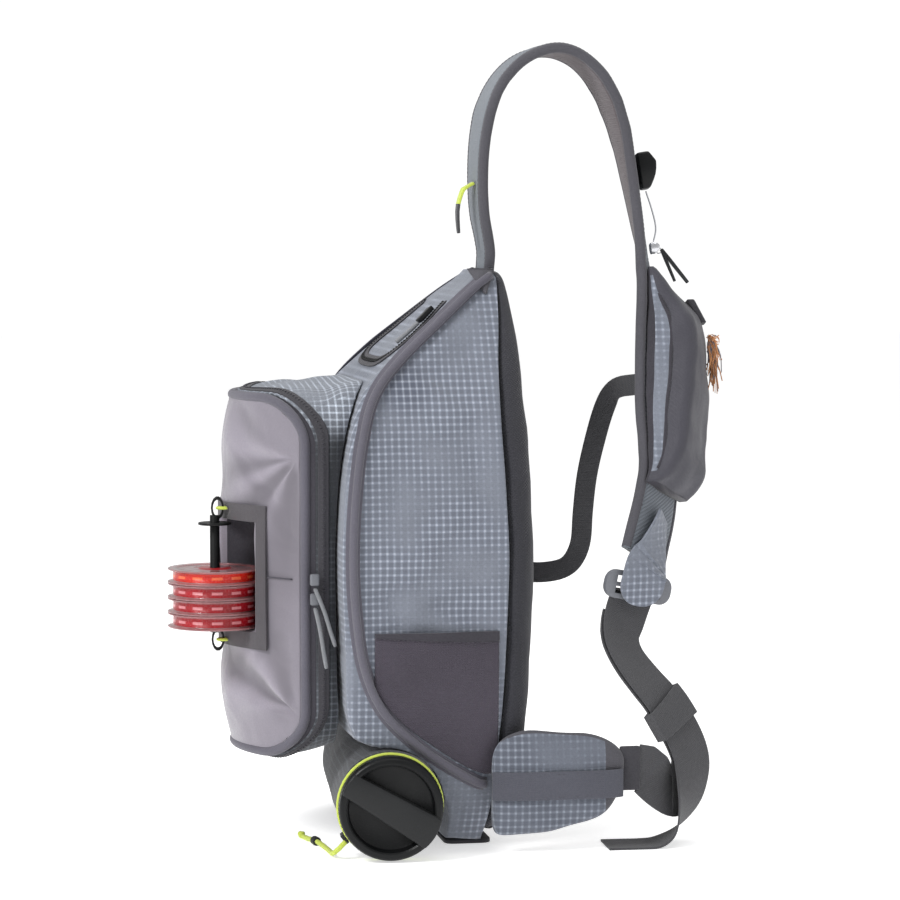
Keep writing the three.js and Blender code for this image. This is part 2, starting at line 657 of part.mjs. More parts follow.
function pocketSliderAt(z) {
  return block(
    vec(SLIDER_X, SLIDER_Y - 5, z - SLIDER_SIZE / 2), vec(SLIDER_X + SLIDER_DEPTH, SLIDER_Y, z + SLIDER_SIZE / 2),
  );
}

function pocketPullAt(z, reach) {
  const height = Math.sqrt(PULL_LENGTH ** 2 - reach ** 2);
  const points = pullRows.map((r) => vec(
    SLIDER_X + SLIDER_DEPTH / 2 + r.out * reach, SLIDER_Y - 2.5 - r.off,
    z - SLIDER_SIZE / 2 - PULL_RADIUS - r.drop * height,
  ));
  const curve = new THREE.CatmullRomCurve3(points);
  return sweep(route(curve.getSpacedPoints(8), () => vec(0, -1, 0)), round(PULL_RADIUS, 6));
}

// Spool rack

const SPOOL_LOW = RACK_MIDDLE - WINDOW_HEIGHT / 2 + 2;
const BAR_LOW = RACK_MIDDLE - BAR_LENGTH / 2;
const BAR_HIGH = RACK_MIDDLE + BAR_LENGTH / 2;
const EYE_X = RACK_X + BAR_RADIUS - 1.6;

function rackPatch() {
  const low = RACK_MIDDLE - WINDOW_HEIGHT / 2;
  const high = RACK_MIDDLE + WINDOW_HEIGHT / 2;
  const halfChord = DISH_RADIUS * 0.92;
  const middle = RACK_SIDE + DISH_RADIUS * 0.08;
  const surface = (u, v) => {
    const y = mix(middle - halfChord - PATCH_BORDER * 0.6, middle + halfChord + PATCH_BORDER, u);
    const z = mix(low - PATCH_BORDER - 2, high + PATCH_BORDER + 2, v);
    return vec(lidFace(y, z), y, z);
  };
  const plate = solid(overlay(surface, shares(8), shares(3), -SKIN_GAP, -SKIN_GAP - PATCH_THICK));
  const reach = LID_REACH + RACK_STANDOFF;
  const window = solid(block(vec(-reach, middle - halfChord, low), vec(-reach / 2, middle + halfChord, high)));
  return shape(plate.subtract(window));
}

function rackBar() {
  const eyeHalf = BAR_EYE_HEIGHT / 2;
  const eye = (z) => solid(new THREE.TorusGeometry(BAR_EYE_HALF_WIDTH, WIRE_RADIUS, 5, 14)
    .scale(1, eyeHalf / BAR_EYE_HALF_WIDTH, 1).rotateX(Math.PI / 2).translate(EYE_X, RACK_SIDE, z));
  const rod = solid(rackCylinder(BAR_RADIUS, BAR_LOW, BAR_HIGH, 12));
  const collar = solid(rackCylinder(BAR_RADIUS + 3, SPOOL_LOW - 2.2, SPOOL_LOW - SPOOL_GAP, 12));
  return shape(rod.add(collar).add(eye(BAR_HIGH + eyeHalf - 2)).add(eye(BAR_LOW - eyeHalf + 2)));
}

/** Elastic loop from the patch round the inner leg of one wire eye. */
function rackLoop(z) {
  const radius = 1.6;
  const half = radius + WIRE_RADIUS + 0.6;
  const legX = EYE_X + BAR_EYE_HALF_WIDTH;
  const seatX = Math.min(lidFace(RACK_SIDE - half, z), lidFace(RACK_SIDE + half, z)) - SKIN_GAP - PATCH_THICK;
  const startX = seatX - SEAT;
  const arc = shares(6).map((s) => vec(
    legX - half * Math.sin(Math.PI * s), RACK_SIDE - half * Math.cos(Math.PI * s), z,
  ));
  const points = [vec(startX, RACK_SIDE - half, z), ...arc, vec(startX, RACK_SIDE + half, z)];
  return sweep(route(points, () => vec(0, 0, 1)), round(radius, 6));
}

function rackWasher() {
  const z = RACK_MIDDLE + 0.42 * BAR_LENGTH;
  const bore = BAR_RADIUS + SEAT;
  return turnedUp([[bore, z], [13, z], [13, z + 1.8], [bore, z + 1.8], [bore, z]], RACK_X, RACK_SIDE, 20);
}

function spool(index) {
  const low = SPOOL_LOW + index * (SPOOL_THICK + SPOOL_GAP);
  const bore = BAR_RADIUS + SEAT + 0.1;
  const groove = SPOOL_RADIUS - 2.2;
  const flange = 1.4;
  const profile = [
    [bore, 0], [SPOOL_RADIUS, 0], [SPOOL_RADIUS, flange], [groove, flange + 0.9],
    [groove, SPOOL_THICK - flange - 0.9], [SPOOL_RADIUS, SPOOL_THICK - flange],
    [SPOOL_RADIUS, SPOOL_THICK], [bore, SPOOL_THICK], [bore, 0],
  ];
  return turnedUp(profile, RACK_X, RACK_SIDE, 20).translate(0, 0, low);
}

// Bottle and sleeve; y runs inwards from the mouth

const SLEEVE_INNER = SLEEVE_RADIUS - CLOTH;

function bottleSleeve() {
  const end = SLEEVE_LENGTH;
  return onBottleLine(turned([
    [0, end], [SLEEVE_RADIUS * 0.8, end], [SLEEVE_RADIUS * 0.96, end - 5], [SLEEVE_RADIUS, end - 14],
    [SLEEVE_RADIUS, 0], [SLEEVE_INNER, 0],
    [SLEEVE_INNER, end - 14], [SLEEVE_RADIUS * 0.9, end - 6], [SLEEVE_RADIUS * 0.76, end - CLOTH], [0, end - CLOTH],
  ], 30));
}

const RING_RADIUS = SLEEVE_RADIUS - DRAWCORD_RADIUS;

function drawcordRing() {
  const y = -DRAWCORD_RADIUS - SEAT;
  return onBottleLine(new THREE.TorusGeometry(RING_RADIUS, DRAWCORD_RADIUS, 5, 30).rotateX(Math.PI / 2).translate(0, y, 0));
}

const BOTTLE_RADIUS = SLEEVE_INNER - SEAT;
const BOTTLE_LENGTH = SLEEVE_LENGTH * 0.9;
const CAP_BACK = -2 * DRAWCORD_RADIUS - 2 * SEAT;

function bottleBody() {
  const end = BOTTLE_LENGTH;
  const neck = RING_RADIUS - DRAWCORD_RADIUS - 2;
  const mouth = CAP_BACK + SEAT;
  const bore = BOTTLE_RADIUS - BOTTLE_WALL;
  return onBottleLine(turned([
    [0, end], [BOTTLE_RADIUS * 0.8, end], [BOTTLE_RADIUS, end - 8], [BOTTLE_RADIUS, 6],
    [neck, 0], [neck, mouth], [neck - BOTTLE_WALL, mouth], [neck - BOTTLE_WALL, 0],
    [bore, 6], [bore, end - 8], [bore * 0.8, end - BOTTLE_WALL], [0, end - BOTTLE_WALL],
  ], 26));
}

function bottleCap() {
  const face = CAP_BACK - CAP_LENGTH;
  const dish = CAP_RADIUS * 0.8;
  const cup = solid(turned([
    [0, CAP_BACK], [CAP_RADIUS - 1, CAP_BACK], [CAP_RADIUS, CAP_BACK - 1], [CAP_RADIUS, face + 3],
    [CAP_RADIUS - 2.5, face], [dish, face], [dish - 3, face + 5], [0, face + 5],
  ], 32));
  const grip = solid(block(
    vec(-CAP_RADIUS * 0.97, face - CAP_GRIP_HEIGHT + 5, -CAP_RADIUS * 0.23),
    vec(CAP_RADIUS * 0.97, face + 6, CAP_RADIUS * 0.23),
  ).rotateY(degrees(27)));
  const trim = solid(turned([
    [0, face - CAP_GRIP_HEIGHT], [CAP_RADIUS, face - CAP_GRIP_HEIGHT], [CAP_RADIUS, face + 7], [0, face + 7],
  ], 32));
  return onBottleLine(shape(cup.add(grip.intersect(trim))));
}

// The drawcord's free tail lies on the floor. Its route is a chosen list of points.
const TAIL_RADIUS = 2;
const tailPoints = [
  [-103.7, -131.3, 14.2], [-108.0, -130.4, 9.4], [-111.2, -126.4, 5.4], [-112.3, -119.6, 3.2], [-112.2, -111.0, 2.3],
  [-112.6, -101.0, 2.1], [-113.8, -91.0, 2.2], [-115.6, -82.0, 2.9], [-117.8, -74.0, 3.6], [-119.4, -67.5, 3.6],
  [-121.0, -60.0, 2.9], [-122.6, -53.0, 2.2], [-124.4, -46.0, 2.1], [-126.4, -39.3, 2.1],
].map(([x, y, z]) => vec(x, y, z));

function drawcordTail() {
  const curve = new THREE.CatmullRomCurve3(tailPoints);
  return sweep(route(curve.getSpacedPoints(24), () => vec(0, 0, 1)), round(TAIL_RADIUS, 8));
}

/** Bead that grips the tail, a little above the floor. */
function drawcordStop() {
  const bead = route([tailPoints[8], tailPoints[9]], () => vec(0, 0, 1));
  const outer = bead.map((s) => round(3.5, 8).map(([a, b]) => along(along(s.p, s.w, a), s.n, b)));
  const inner = [...bead].reverse().map((s) => round(TAIL_RADIUS + SEAT, 8)
    .map(([a, b]) => along(along(s.p, s.w, a), s.n, b)));
  return skin([...outer, ...inner], true);
}

/** Sewn tab at the mouth of the sleeve that lets the cord out. */
function drawcordTab() {
  const angle = degrees(217);
  const reach = SLEEVE_RADIUS + SEAT;
  return onBottleLine(block(vec(reach, 1, -4), vec(reach + 3, 13, 4)).rotateY(-angle));
}

// Hip wing on the near flank: past is a share of WING_REACH, top and low of WING_TOP, thick of WING_THICK.
const wingRows = [
  { past: 0.08, top: 0.80, low: 0.15, thick: 0.60 }, { past: 0.16, top: 0.93, low: 0.13, thick: 0.85 },
  { past: 0.32, top: 0.98, low: 0.14, thick: 1.0 }, { past: 0.50, top: 0.97, low: 0.16, thick: 1.0 },
  { past: 0.68, top: 0.95, low: 0.20, thick: 1.0 }, { past: 0.82, top: 0.91, low: 0.27, thick: 1.0 },
  { past: 0.92, top: 0.86, low: 0.37, thick: 0.9 }, { past: 0.98, top: 0.78, low: 0.48, thick: 0.65 },
  { past: 1.00, top: 0.72, low: 0.56, thick: 0.4 },
];
const WING_INNER = flankReach(bagRim(0.2 * BAG_HEIGHT), 0.2 * BAG_HEIGHT) + FLANK_BULGE * 0.55 + SEAT;

function hipWing() {
  return skin(wingRows.map((r) => {
    const x = r.past * WING_REACH;
    const thick = r.thick * WING_THICK;
    const inner = -WING_INNER;
    const outer = inner - thick;
    const high = r.top * WING_TOP;
    const low = r.low * WING_TOP;
    const round1 = Math.min(thick * 0.42, (high - low) * 0.3);
    return [
      vec(x, inner, low + round1), vec(x, inner, high - round1),
      vec(x, inner - round1, high), vec(x, outer + round1, high),
      vec(x, outer, high - round1), vec(x, outer, low + round1),
      vec(x, outer + round1, low), vec(x, inner - round1, low),
    ];
  }));
}

function wingBand() {
  const rows = wingRows.slice(0, -1);
  const low = 0.43 * WING_TOP;
  const high = 0.65 * WING_TOP;
  return skin(rows.map((r) => {
    const x = r.past * WING_REACH;
    const outer = -WING_INNER - r.thick * WING_THICK - SEAT;
    return [
      vec(x, outer, low), vec(x, outer, high),
      vec(x, outer - WEBBING_THICK, high), vec(x, outer - WEBBING_THICK, low),
    ];
  }));
}

const WING_TAB_REACH = 8;
const WING_TAB_Y = -WING_INNER - WING_THICK * 0.3;

function wingTab() {
  const middle = 0.64 * WING_TOP;
  const start = WING_REACH + SEAT;
  return block(
    vec(start, WING_TAB_Y - 2, middle - WEBBING_WIDTH * 0.45),
    vec(start + WING_TAB_REACH, WING_TAB_Y + 2, middle + WEBBING_WIDTH * 0.45),
  );
}

// Shoulder strap: out is a share of STRAP_OUT behind the bag's top, up of BAG_HEIGHT, rise of STRAP_RISE,
// side of BAG_HALF_WIDTH and wide of STRAP_WIDTH; facing turns the strap towards the near side.
const strapRows = [
  { out: 0.025, up: 1.001, rise: 0.002, side: -0.045, facing: 0, wide: 0.66 },
  { out: 0.030, up: 1, rise: 0.090, side: -0.045, facing: 0, wide: 0.80 },
  { out: -0.008, up: 1, rise: 0.250, side: -0.040, facing: 0, wide: 0.96 },
  { out: -0.020, up: 1, rise: 0.405, side: -0.040, facing: 0, wide: 1 },
  { out: -0.006, up: 1, rise: 0.585, side: -0.032, facing: 0, wide: 1 },
  { out: 0.040, up: 1, rise: 0.745, side: -0.025, facing: 0, wide: 1 },
  { out: 0.130, up: 1, rise: 0.868, side: -0.016, facing: 0, wide: 1 },
  { out: 0.270, up: 1, rise: 0.960, side: -0.016, facing: 0, wide: 1 },
  { out: 0.448, up: 1, rise: 0.997, side: -0.025, facing: 0, wide: 1 },
  { out: 0.598, up: 1, rise: 0.965, side: -0.040, facing: 0, wide: 1 },
  { out: 0.722, up: 1, rise: 0.880, side: -0.065, facing: 0, wide: 1 },
  { out: 0.807, up: 1, rise: 0.771, side: -0.090, facing: 1, wide: 1 },
  { out: 0.878, up: 1, rise: 0.611, side: -0.120, facing: 2, wide: 1 },
  { out: 0.917, up: 1, rise: 0.451, side: -0.155, facing: 2, wide: 1 },
  { out: 0.954, up: 1, rise: 0.270, side: -0.195, facing: 3, wide: 1 },
  { out: 0.984, up: 1, rise: 0.112, side: -0.235, facing: 4, wide: 1 },
  { out: 1.000, up: 0.961, rise: 0, side: -0.295, facing: 6, wide: 1 },
  { out: 1.000, up: 0.876, rise: 0, side: -0.350, facing: 8, wide: 1 },
  { out: 0.998, up: 0.796, rise: 0, side: -0.410, facing: 9, wide: 1 },
  { out: 1.000, up: 0.735, rise: 0, side: -0.465, facing: 11, wide: 1 },
  { out: 1.015, up: 0.674, rise: 0, side: -0.540, facing: 14, wide: 1 },
  { out: 1.015, up: 0.631, rise: 0, side: -0.600, facing: 19, wide: 1 },
  { out: 0.975, up: 0.580, rise: 0, side: -0.670, facing: 28, wide: 0.98 },
  { out: 0.925, up: 0.538, rise: 0, side: -0.735, facing: 40, wide: 0.90 },
  { out: 0.880, up: 0.500, rise: 0, side: -0.790, facing: 54, wide: 0.76 },
];

/** Rows of shares turned into places. */
function placed(rows) {
  return rows.map(({ out, up, rise = 0, side, ...rest }) => ({
    x: BAG_TOP_X + out * STRAP_OUT, y: side * BAG_HALF_WIDTH, z: up * BAG_HEIGHT + rise * STRAP_RISE, ...rest,
  }));
}

const STRAP_STATIONS = 51;
const strapLine = strapRoute(placed(strapRows), STRAP_STATIONS);

const strapPad = () => sweep(strapLine, (i, s) => flat(STRAP_WIDTH * s.wide, STRAP_THICK, STRAP_THICK * 0.3));

// Pouch on the outer face of the strap: at is a share of the strap's line, deep of STRAP_POCKET_DEPTH.
const pouchRows = [
  { at: 0.638, deep: 0.14 }, { at: 0.655, deep: 0.34 }, { at: 0.680, deep: 0.68 }, { at: 0.702, deep: 0.95 },
  { at: 0.730, deep: 1.04 }, { at: 0.768, deep: 1.04 }, { at: 0.808, deep: 0.96 }, { at: 0.842, deep: 0.87 },
  { at: 0.880, deep: 0.74 }, { at: 0.903, deep: 0.52 }, { at: 0.914, deep: 0.28 },
];

function strapStation(share) {
  const place = share * (STRAP_STATIONS - 1);
  const i = Math.min(Math.floor(place), STRAP_STATIONS - 2);
  const s = place - i;
  const [a, b] = [strapLine[i], strapLine[i + 1]];
  return {
    p: a.p.clone().lerp(b.p, s), t: a.t.clone().lerp(b.t, s).normalize(),
    n: a.n.clone().lerp(b.n, s).normalize(), w: a.w.clone().lerp(b.w, s).normalize(),
  };
}

function pouchSection(deep, inset, low) {
  const half = STRAP_POCKET_WIDTH / 2 - inset;
  const high = STRAP_THICK / 2 + SEAT + deep * STRAP_POCKET_DEPTH - inset;
  const cut = Math.min(8, (high - low) * 0.45);
  return [
    [-half, low], [-half, high - cut], [-half + cut * 0.3, high - cut * 0.3], [-half + cut, high],
    [half - cut, high], [half - cut * 0.3, high - cut * 0.3], [half, high - cut], [half, low],
  ];
}

function strapPocket() {
  const stations = pouchRows.map((r) => strapStation(r.at));
  const low = STRAP_THICK / 2 + 2 * SKIN_GAP;
  const outer = sweep(stations, (i) => pouchSection(pouchRows[i].deep, 0, low));
  const innerRows = pouchRows.slice(2, -1);
  const inner = sweep(innerRows.map((r) => strapStation(r.at)), (i) => pouchSection(innerRows[i].deep, CLOTH, -1));
  return shape(solid(outer).subtract(solid(inner)));
}

/** Zipper down the near side of the pouch. */
function strapPocketZipper() {
  const rows = pouchRows.slice(3, -2);
  return sweep(rows.map((r) => strapStation(r.at)), (i) => {
    const half = STRAP_POCKET_WIDTH / 2 + 2 * SEAT;
    const high = STRAP_THICK / 2 + rows[i].deep * STRAP_POCKET_DEPTH - 10;
    return [[-half - 1.6, high - 7], [-half - 1.6, high], [-half, high], [-half, high - 7]];
  });
}

// Ladder buckle below the strap, its width turned towards the near side
const buckle = placed([{ out: 0.828, up: 0.451, side: -0.865, facing: 75 }])[0];
const buckleDown = vec(-0.2, 0, -1).normalize();
const buckleAcross = vec(Math.sin(degrees(buckle.facing)), Math.cos(degrees(buckle.facing)), 0);
buckleAcross.addScaledVector(buckleDown, -buckleAcross.dot(buckleDown)).normalize();
const buckleOut = buckleDown.clone().cross(buckleAcross);
const buckleMiddle = vec(buckle.x, buckle.y, buckle.z);

function ladderBuckle() {
  const r = BUCKLE_HEIGHT * 0.42;
  const x = BUCKLE_WIDTH / 2;
  const y = BUCKLE_HEIGHT / 2;
  const outline = new THREE.Shape();
  outline.moveTo(-x + r, -y);
  outline.lineTo(x - r, -y);
  outline.absarc(x - r, -y + r, r, -Math.PI / 2, 0, false);
  outline.absarc(x - r, y - r, r, 0, Math.PI / 2, false);
  outline.lineTo(-x + r, y);
  outline.absarc(-x + r, y - r, r, Math.PI / 2, Math.PI, false);
  outline.absarc(-x + r, -y + r, r, Math.PI, 1.5 * Math.PI, false);
  const slotHalf = Math.min(WEBBING_WIDTH / 2 + 1, x - 4);
  for (const low of [-y + 4, 1.5]) {
    const slot = new THREE.Path();
    slot.moveTo(-slotHalf, low);
    slot.lineTo(-slotHalf, low + y - 5.5);
    slot.lineTo(slotHalf, low + y - 5.5);
    slot.lineTo(slotHalf, low);
    outline.holes.push(slot);
  }
  const plate = new THREE.ExtrudeGeometry(outline, { depth: BUCKLE_THICK, bevelEnabled: false, curveSegments: 4 });
  const frame = new THREE.Matrix4().makeBasis(buckleAcross, buckleDown.clone().negate(), buckleOut);
  const base = along(buckleMiddle, buckleOut, -BUCKLE_THICK / 2);
  return plate.applyMatrix4(frame.setPosition(base));
}

/** Cloth end tab of the strap, over the outside of the strap's end and of the buckle. */
function strapTab() {
  const lift = STRAP_THICK / 2 + 4 * SKIN_GAP + CLOTH / 2;
  const upper = [0.925, 0.95, 0.975, 1].map((at, i) => {
    const s = strapStation(at);
    const p = along(s.p, s.n, lift);
    return { x: p.x, y: p.y, z: p.z, ...facingOf(s.w), half: 12 + 2 * i };
  });
  const over = BUCKLE_THICK / 2 + SKIN_GAP + CLOTH / 2 + 0.8;
  const lower = [-1.15, 0, 0.9, 1.3].map((down, i) => {
    const p = along(along(buckleMiddle, buckleOut, over + [3, 1.8, 1, 0.4][i]), buckleDown, (down * BUCKLE_HEIGHT) / 2);
    return { x: p.x, y: p.y, z: p.z, ...facingOf(buckleAcross), half: [19, 19, 14, 6][i] };
  });
  const line = strapRoute([...upper, ...lower], 16);
  return sweep(line, (i, s) => oblong(2 * s.half, -CLOTH / 2, CLOTH / 2));
}

// Webbing that hangs from the buckle and lies with its end on the floor, then the belt that runs behind it.
const FLOOR_LIFT = WEBBING_THICK / 2 / BAG_HEIGHT;
const tailRows = [
  { out: 0.762, up: 0.4035, side: -0.835, facing: 70 }, { out: 0.725, up: 0.366, side: -0.880, facing: 56 },
  { out: 0.765, up: 0.331, side: -0.915, facing: 50 }, { out: 0.871, up: 0.290, side: -0.925, facing: 52 },
  { out: 0.965, up: 0.258, side: -0.925, facing: 55 }, { out: 1.042, up: 0.225, side: -0.925, facing: 58 },
  { out: 1.118, up: 0.186, side: -0.925, facing: 58 }, { out: 1.163, up: 0.147, side: -0.925, facing: 58 },
  { out: 1.162, up: 0.103, side: -0.930, facing: 50 }, { out: 1.128, up: 0.063, side: -0.940, facing: 36 },
  { out: 1.053, up: 0.024, side: -0.940, facing: 16 }, { out: 0.950, up: 0.003 + FLOOR_LIFT, side: -0.935, facing: 3 },
  { out: 0.860, up: FLOOR_LIFT, side: -0.925, facing: 0 }, { out: 0.760, up: FLOOR_LIFT, side: -0.920, facing: -2 },
  { out: 0.620, up: FLOOR_LIFT, side: -0.915, facing: -3 },
];
const slotMiddle = along(buckleMiddle, buckleDown, BUCKLE_HEIGHT * 0.193);
const threadRows = [
  { out: BUCKLE_THICK * 0.24, down: -0.6 }, { out: -BUCKLE_THICK * 0.3, down: -0.2 },
  { out: -BUCKLE_THICK * 0.9, down: 1.6 },
].map((r) => {
  const p = along(along(slotMiddle, buckleOut, r.out), buckleDown, r.down);
  return { x: p.x, y: p.y, z: p.z, ...facingOf(buckleAcross) };
});
const tailLine = strapRoute([...threadRows, ...placed(tailRows)], 49);
const tailBetween = (high, low) => tailLine.slice(8, 26).filter((s) => s.p.z < high && s.p.z > low);
const tailWebbing = () => sweep(tailLine, oblong(WEBBING_WIDTH, -WEBBING_THICK / 2, WEBBING_THICK / 2));

const BELT_LAP = 3.4;
// Belt from the wing to where it runs up behind the tail: past is the share of the way from wing to turn.
const beltRows = [
  { past: 0.00, up: 0.140, side: 0, lift: 90 }, { past: 0.12, up: 0.139, side: 0.05, lift: 87 },
  { past: 0.32, up: 0.118, side: 0.20, lift: 70 }, { past: 0.54, up: 0.096, side: 0.50, lift: 56 },
  { past: 0.74, up: 0.088, side: 0.85, lift: 42 }, { past: 0.90, up: 0.098, side: 1.05, lift: 26 },
  { past: 0.98, up: 0.125, side: 1.10, lift: 12 }, { past: 0.985, up: 0.160, side: 1.08, lift: 4 },
];

/** The belt runs up where the tail runs down, so its width is turned the other way. */
function beltFacing(w) {
  const { facing, lift } = facingOf(w.clone().negate());
  return { facing: facing > 0 ? facing - 360 : facing, lift };
}

function beltWebbing() {
  const turnX = BAG_TOP_X + 1.163 * STRAP_OUT;
  const turnY = -0.86 * BAG_HALF_WIDTH;
  const startX = WING_REACH + SEAT + WING_TAB_REACH + 3 * SKIN_GAP;
  const lower = beltRows.map((r) => ({
    x: mix(startX, turnX, r.past), y: mix(WING_TAB_Y, turnY, r.side), z: r.up * BAG_HEIGHT, facing: -122, lift: r.lift,
  }));
  const upper = tailBetween(0.4 * BAG_HEIGHT, 0.205 * BAG_HEIGHT).reverse().map((s) => {
    const p = along(s.p, s.n, -BELT_LAP);
    return { x: p.x, y: p.y, z: p.z, ...beltFacing(s.w) };
  });
  return sweep(strapRoute([...lower, ...upper], 46), oblong(WEBBING_WIDTH, -WEBBING_THICK / 2, WEBBING_THICK / 2));
}

/** Keeper that holds the two webbings together. */
function webbingKeeper() {
  const stations = tailBetween(0.258 * BAG_HEIGHT, 0.202 * BAG_HEIGHT);
  const low = -BELT_LAP - WEBBING_THICK / 2 - 3 * SEAT;
  const high = WEBBING_THICK / 2 + 3 * SEAT;
  const inside = oblong(WEBBING_WIDTH + 3, low, high);
  const outside = oblong(WEBBING_WIDTH + 6, low - 1.5, high + 1.5);
  const rings = (list, section) => list.map((s) => section.map(([a, b]) => along(along(s.p, s.w, a), s.n, b)));
  return skin([...rings(stations, outside), ...rings([...stations].reverse(), inside)], true);
}

// Stabiliser from the strap's inner face down to the back panel.
const stabiliserRows = [
  { out: 0.880, up: 0.780, side: -0.030, facing: 90, lift: -87 },
  { out: 0.865, up: 0.784, side: -0.020, facing: 90, lift: -85 },
  { out: 0.820, up: 0.752, side: 0.050, facing: 90, lift: -56 }, { out: 0.775, up: 0.692, side: 0.130, facing: 90, lift: -28 },
  { out: 0.740, up: 0.622, side: 0.220, facing: 90, lift: -8 }, { out: 0.730, up: 0.550, side: 0.300, facing: 90, lift: 0 },
  { out: 0.722, up: 0.490, side: 0.350, facing: 90, lift: -16 }, { out: 0.650, up: 0.452, side: 0.395, facing: 90, lift: -50 },
  { out: 0.490, up: 0.440, side: 0.440, facing: 90, lift: -75 }, { out: 0.330, up: 0.442, side: 0.500, facing: 90, lift: -84 },
];

function stabiliserWebbing() {
  const rows = placed(stabiliserRows);
  const top = strapStation(0.745);
  const start = along(along(top.p, top.w, STRAP_WIDTH * 0.34), top.n, -STRAP_THICK / 2 - 8 * SEAT);
  const endZ = rows.at(-1).z;
  const first = { ...rows[0], x: start.x, y: start.y, z: start.z };
  const last = { ...rows.at(-1), x: bagBack(endZ) + SEAT + 0.4, facing: 90, lift: -88 };
  return sweep(
    strapRoute([first, ...rows.slice(1), last], 34), oblong(STABILISER_WIDTH, -WEBBING_THICK / 2, WEBBING_THICK / 2),
  );
}

// Small tools on the strap

/** A slab seated on the outer face of the strap, from one share of its line to another. */
function onStrap(from, to, side, width, base, high) {
  const stations = shares(3).map((s) => strapStation(mix(from, to, s)));
  return sweep(stations, (i) => {
    const taper = [0.8, 1, 0.95, 0.5][i];
    const w = (width * taper) / 2;
    const top = base + high * [0.7, 1, 0.9, 0.5][i];
    return [[side - w, base], [side - w, top], [side + w, top], [side + w, base]];
  });
}

const OUTER_FACE = STRAP_THICK / 2 + SKIN_GAP;
const RETRACTOR_SIDE = -STRAP_WIDTH * 0.2;
const RETRACTOR_HIGH = 15;
const retractor = () => onStrap(0.527, 0.566, RETRACTOR_SIDE, 22, OUTER_FACE, RETRACTOR_HIGH);

/** Point off the strap's outer face. */
function offStrap(share, side, off) {
  const s = strapStation(share);
  return along(along(s.p, s.w, side), s.n, off);
}

/** Loop tab that stands out from the strap and folds down. */
function strapLoopTab() {
  const rows = [[0.120, 0], [0.114, 8], [0.098, 13], [0.082, 14], [0.067, 15]];
  const points = rows.map(([at, off]) => offStrap(at, -STRAP_WIDTH * 0.16, OUTER_FACE + off));
  const stations = route(points, (i) => strapStation(rows[i][0]).n);
  return sweep(stations, (i) => oblong([12, 12, 10, 9, 5][i], 0, 2.4));
}

function retractorWire() {
  const points = [
    offStrap(0.5675, RETRACTOR_SIDE, OUTER_FACE + 4), offStrap(0.590, RETRACTOR_SIDE, OUTER_FACE + 6.5),
    offStrap(0.612, RETRACTOR_SIDE, OUTER_FACE + 7), offStrap(0.6253, RETRACTOR_SIDE, OUTER_FACE + 3.4),
  ];
  const curve = new THREE.CatmullRomCurve3(points);
  return sweep(route(curve.getSpacedPoints(10), () => vec(0, -1, 0)), round(0.8, 6));
}

/** Spring clip at the end of the wire, lying on the strap. */
const toolClip = () => onStrap(0.626, 0.6365, RETRACTOR_SIDE, 9, OUTER_FACE, 8);

/** A flat tool that hangs from the clip along a direction. */
function hangingTool(direction, across, length) {
  const start = offStrap(0.6335, RETRACTOR_SIDE, OUTER_FACE + 7.4 + SEAT);
  const points = [start, along(start, direction, length * 0.3), along(start, direction, length)];
  return sweep(route(points, () => across), (i) => oblong([4, 6, 3][i], 0, 2.6));
}

const nipper = () => hangingTool(vec(0.62, -0.1, -0.78).normalize(), vec(0.78, 0, 0.62), 34);

const POUCH_TOP_SHARE = 0.695;
const pouchFace = STRAP_THICK / 2 + SEAT + 0.95 * STRAP_POCKET_DEPTH;

function flyBox() {
  const stations = [0.676, 0.696].map((at) => strapStation(at));
  return sweep(stations, (i) => {
    const base = pouchFace + [-9.2, 0.2][i];
    return [[-12, base], [-12, base + 6], [4, base + 6], [4, base]];
  });
}

function fly() {
  const stations = [0.706, 0.718, 0.732, 0.748].map((at) => strapStation(at));
  const middle = -6;
  return sweep(stations, (i) => {
    const reach = [5, 9, 11, 6][i];
    const wide = [2.5, 5, 4, 1.5][i];
    const base = pouchFace + 4;
    return [
      [middle - wide, base + reach * 0.3], [middle - wide * 0.5, base + reach],
      [middle + wide * 0.5, base + reach], [middle + wide, base + reach * 0.3],
      [middle + wide * 0.5, base], [middle - wide * 0.5, base],
    ];
  });
}

// Assembly

const bag = new THREE.Group();

function piece(name, geometry, material) {
  const mesh = new THREE.Mesh(geometry, material);
  mesh.name = name;
  bag.add(mesh);
}

piece('main_shell', mainShell(), gridCloth);
piece('back_panel', backPanel(), padCloth);
piece('base_panel', basePanel(), darkPlastic);
piece('bag_piping_near', bagPiping(-1), bindingCloth);
piece('bag_piping_far', bagPiping(1), bindingCloth);
piece('side_mesh_pocket', sideMeshPocket(), meshCloth);
piece('main_zipper', mainZipper(), darkPlastic);
piece('main_slider', mainSlider(), darkPlastic);
piece('main_pull', mainPull(), webbingCloth);

piece('pocket_shell', pocketShell(), gridCloth);
piece('pocket_lid', pocketLid(), lidCloth);
piece('pocket_piping', pocketPiping(), bindingCloth);
piece('pocket_zipper', pocketZipper(), darkPlastic);
const SLIDER_UPPER = RACK_MIDDLE + 2;
const SLIDER_LOWER = SLIDER_UPPER - SLIDER_SIZE - 6;
piece('pocket_slider_upper', pocketSliderAt(SLIDER_UPPER), darkPlastic);
piece('pocket_slider_lower', pocketSliderAt(SLIDER_LOWER), darkPlastic);
piece('pocket_pull_upper', pocketPullAt(SLIDER_UPPER, 15), webbingCloth);
piece('pocket_pull_lower', pocketPullAt(SLIDER_LOWER, 8), webbingCloth);

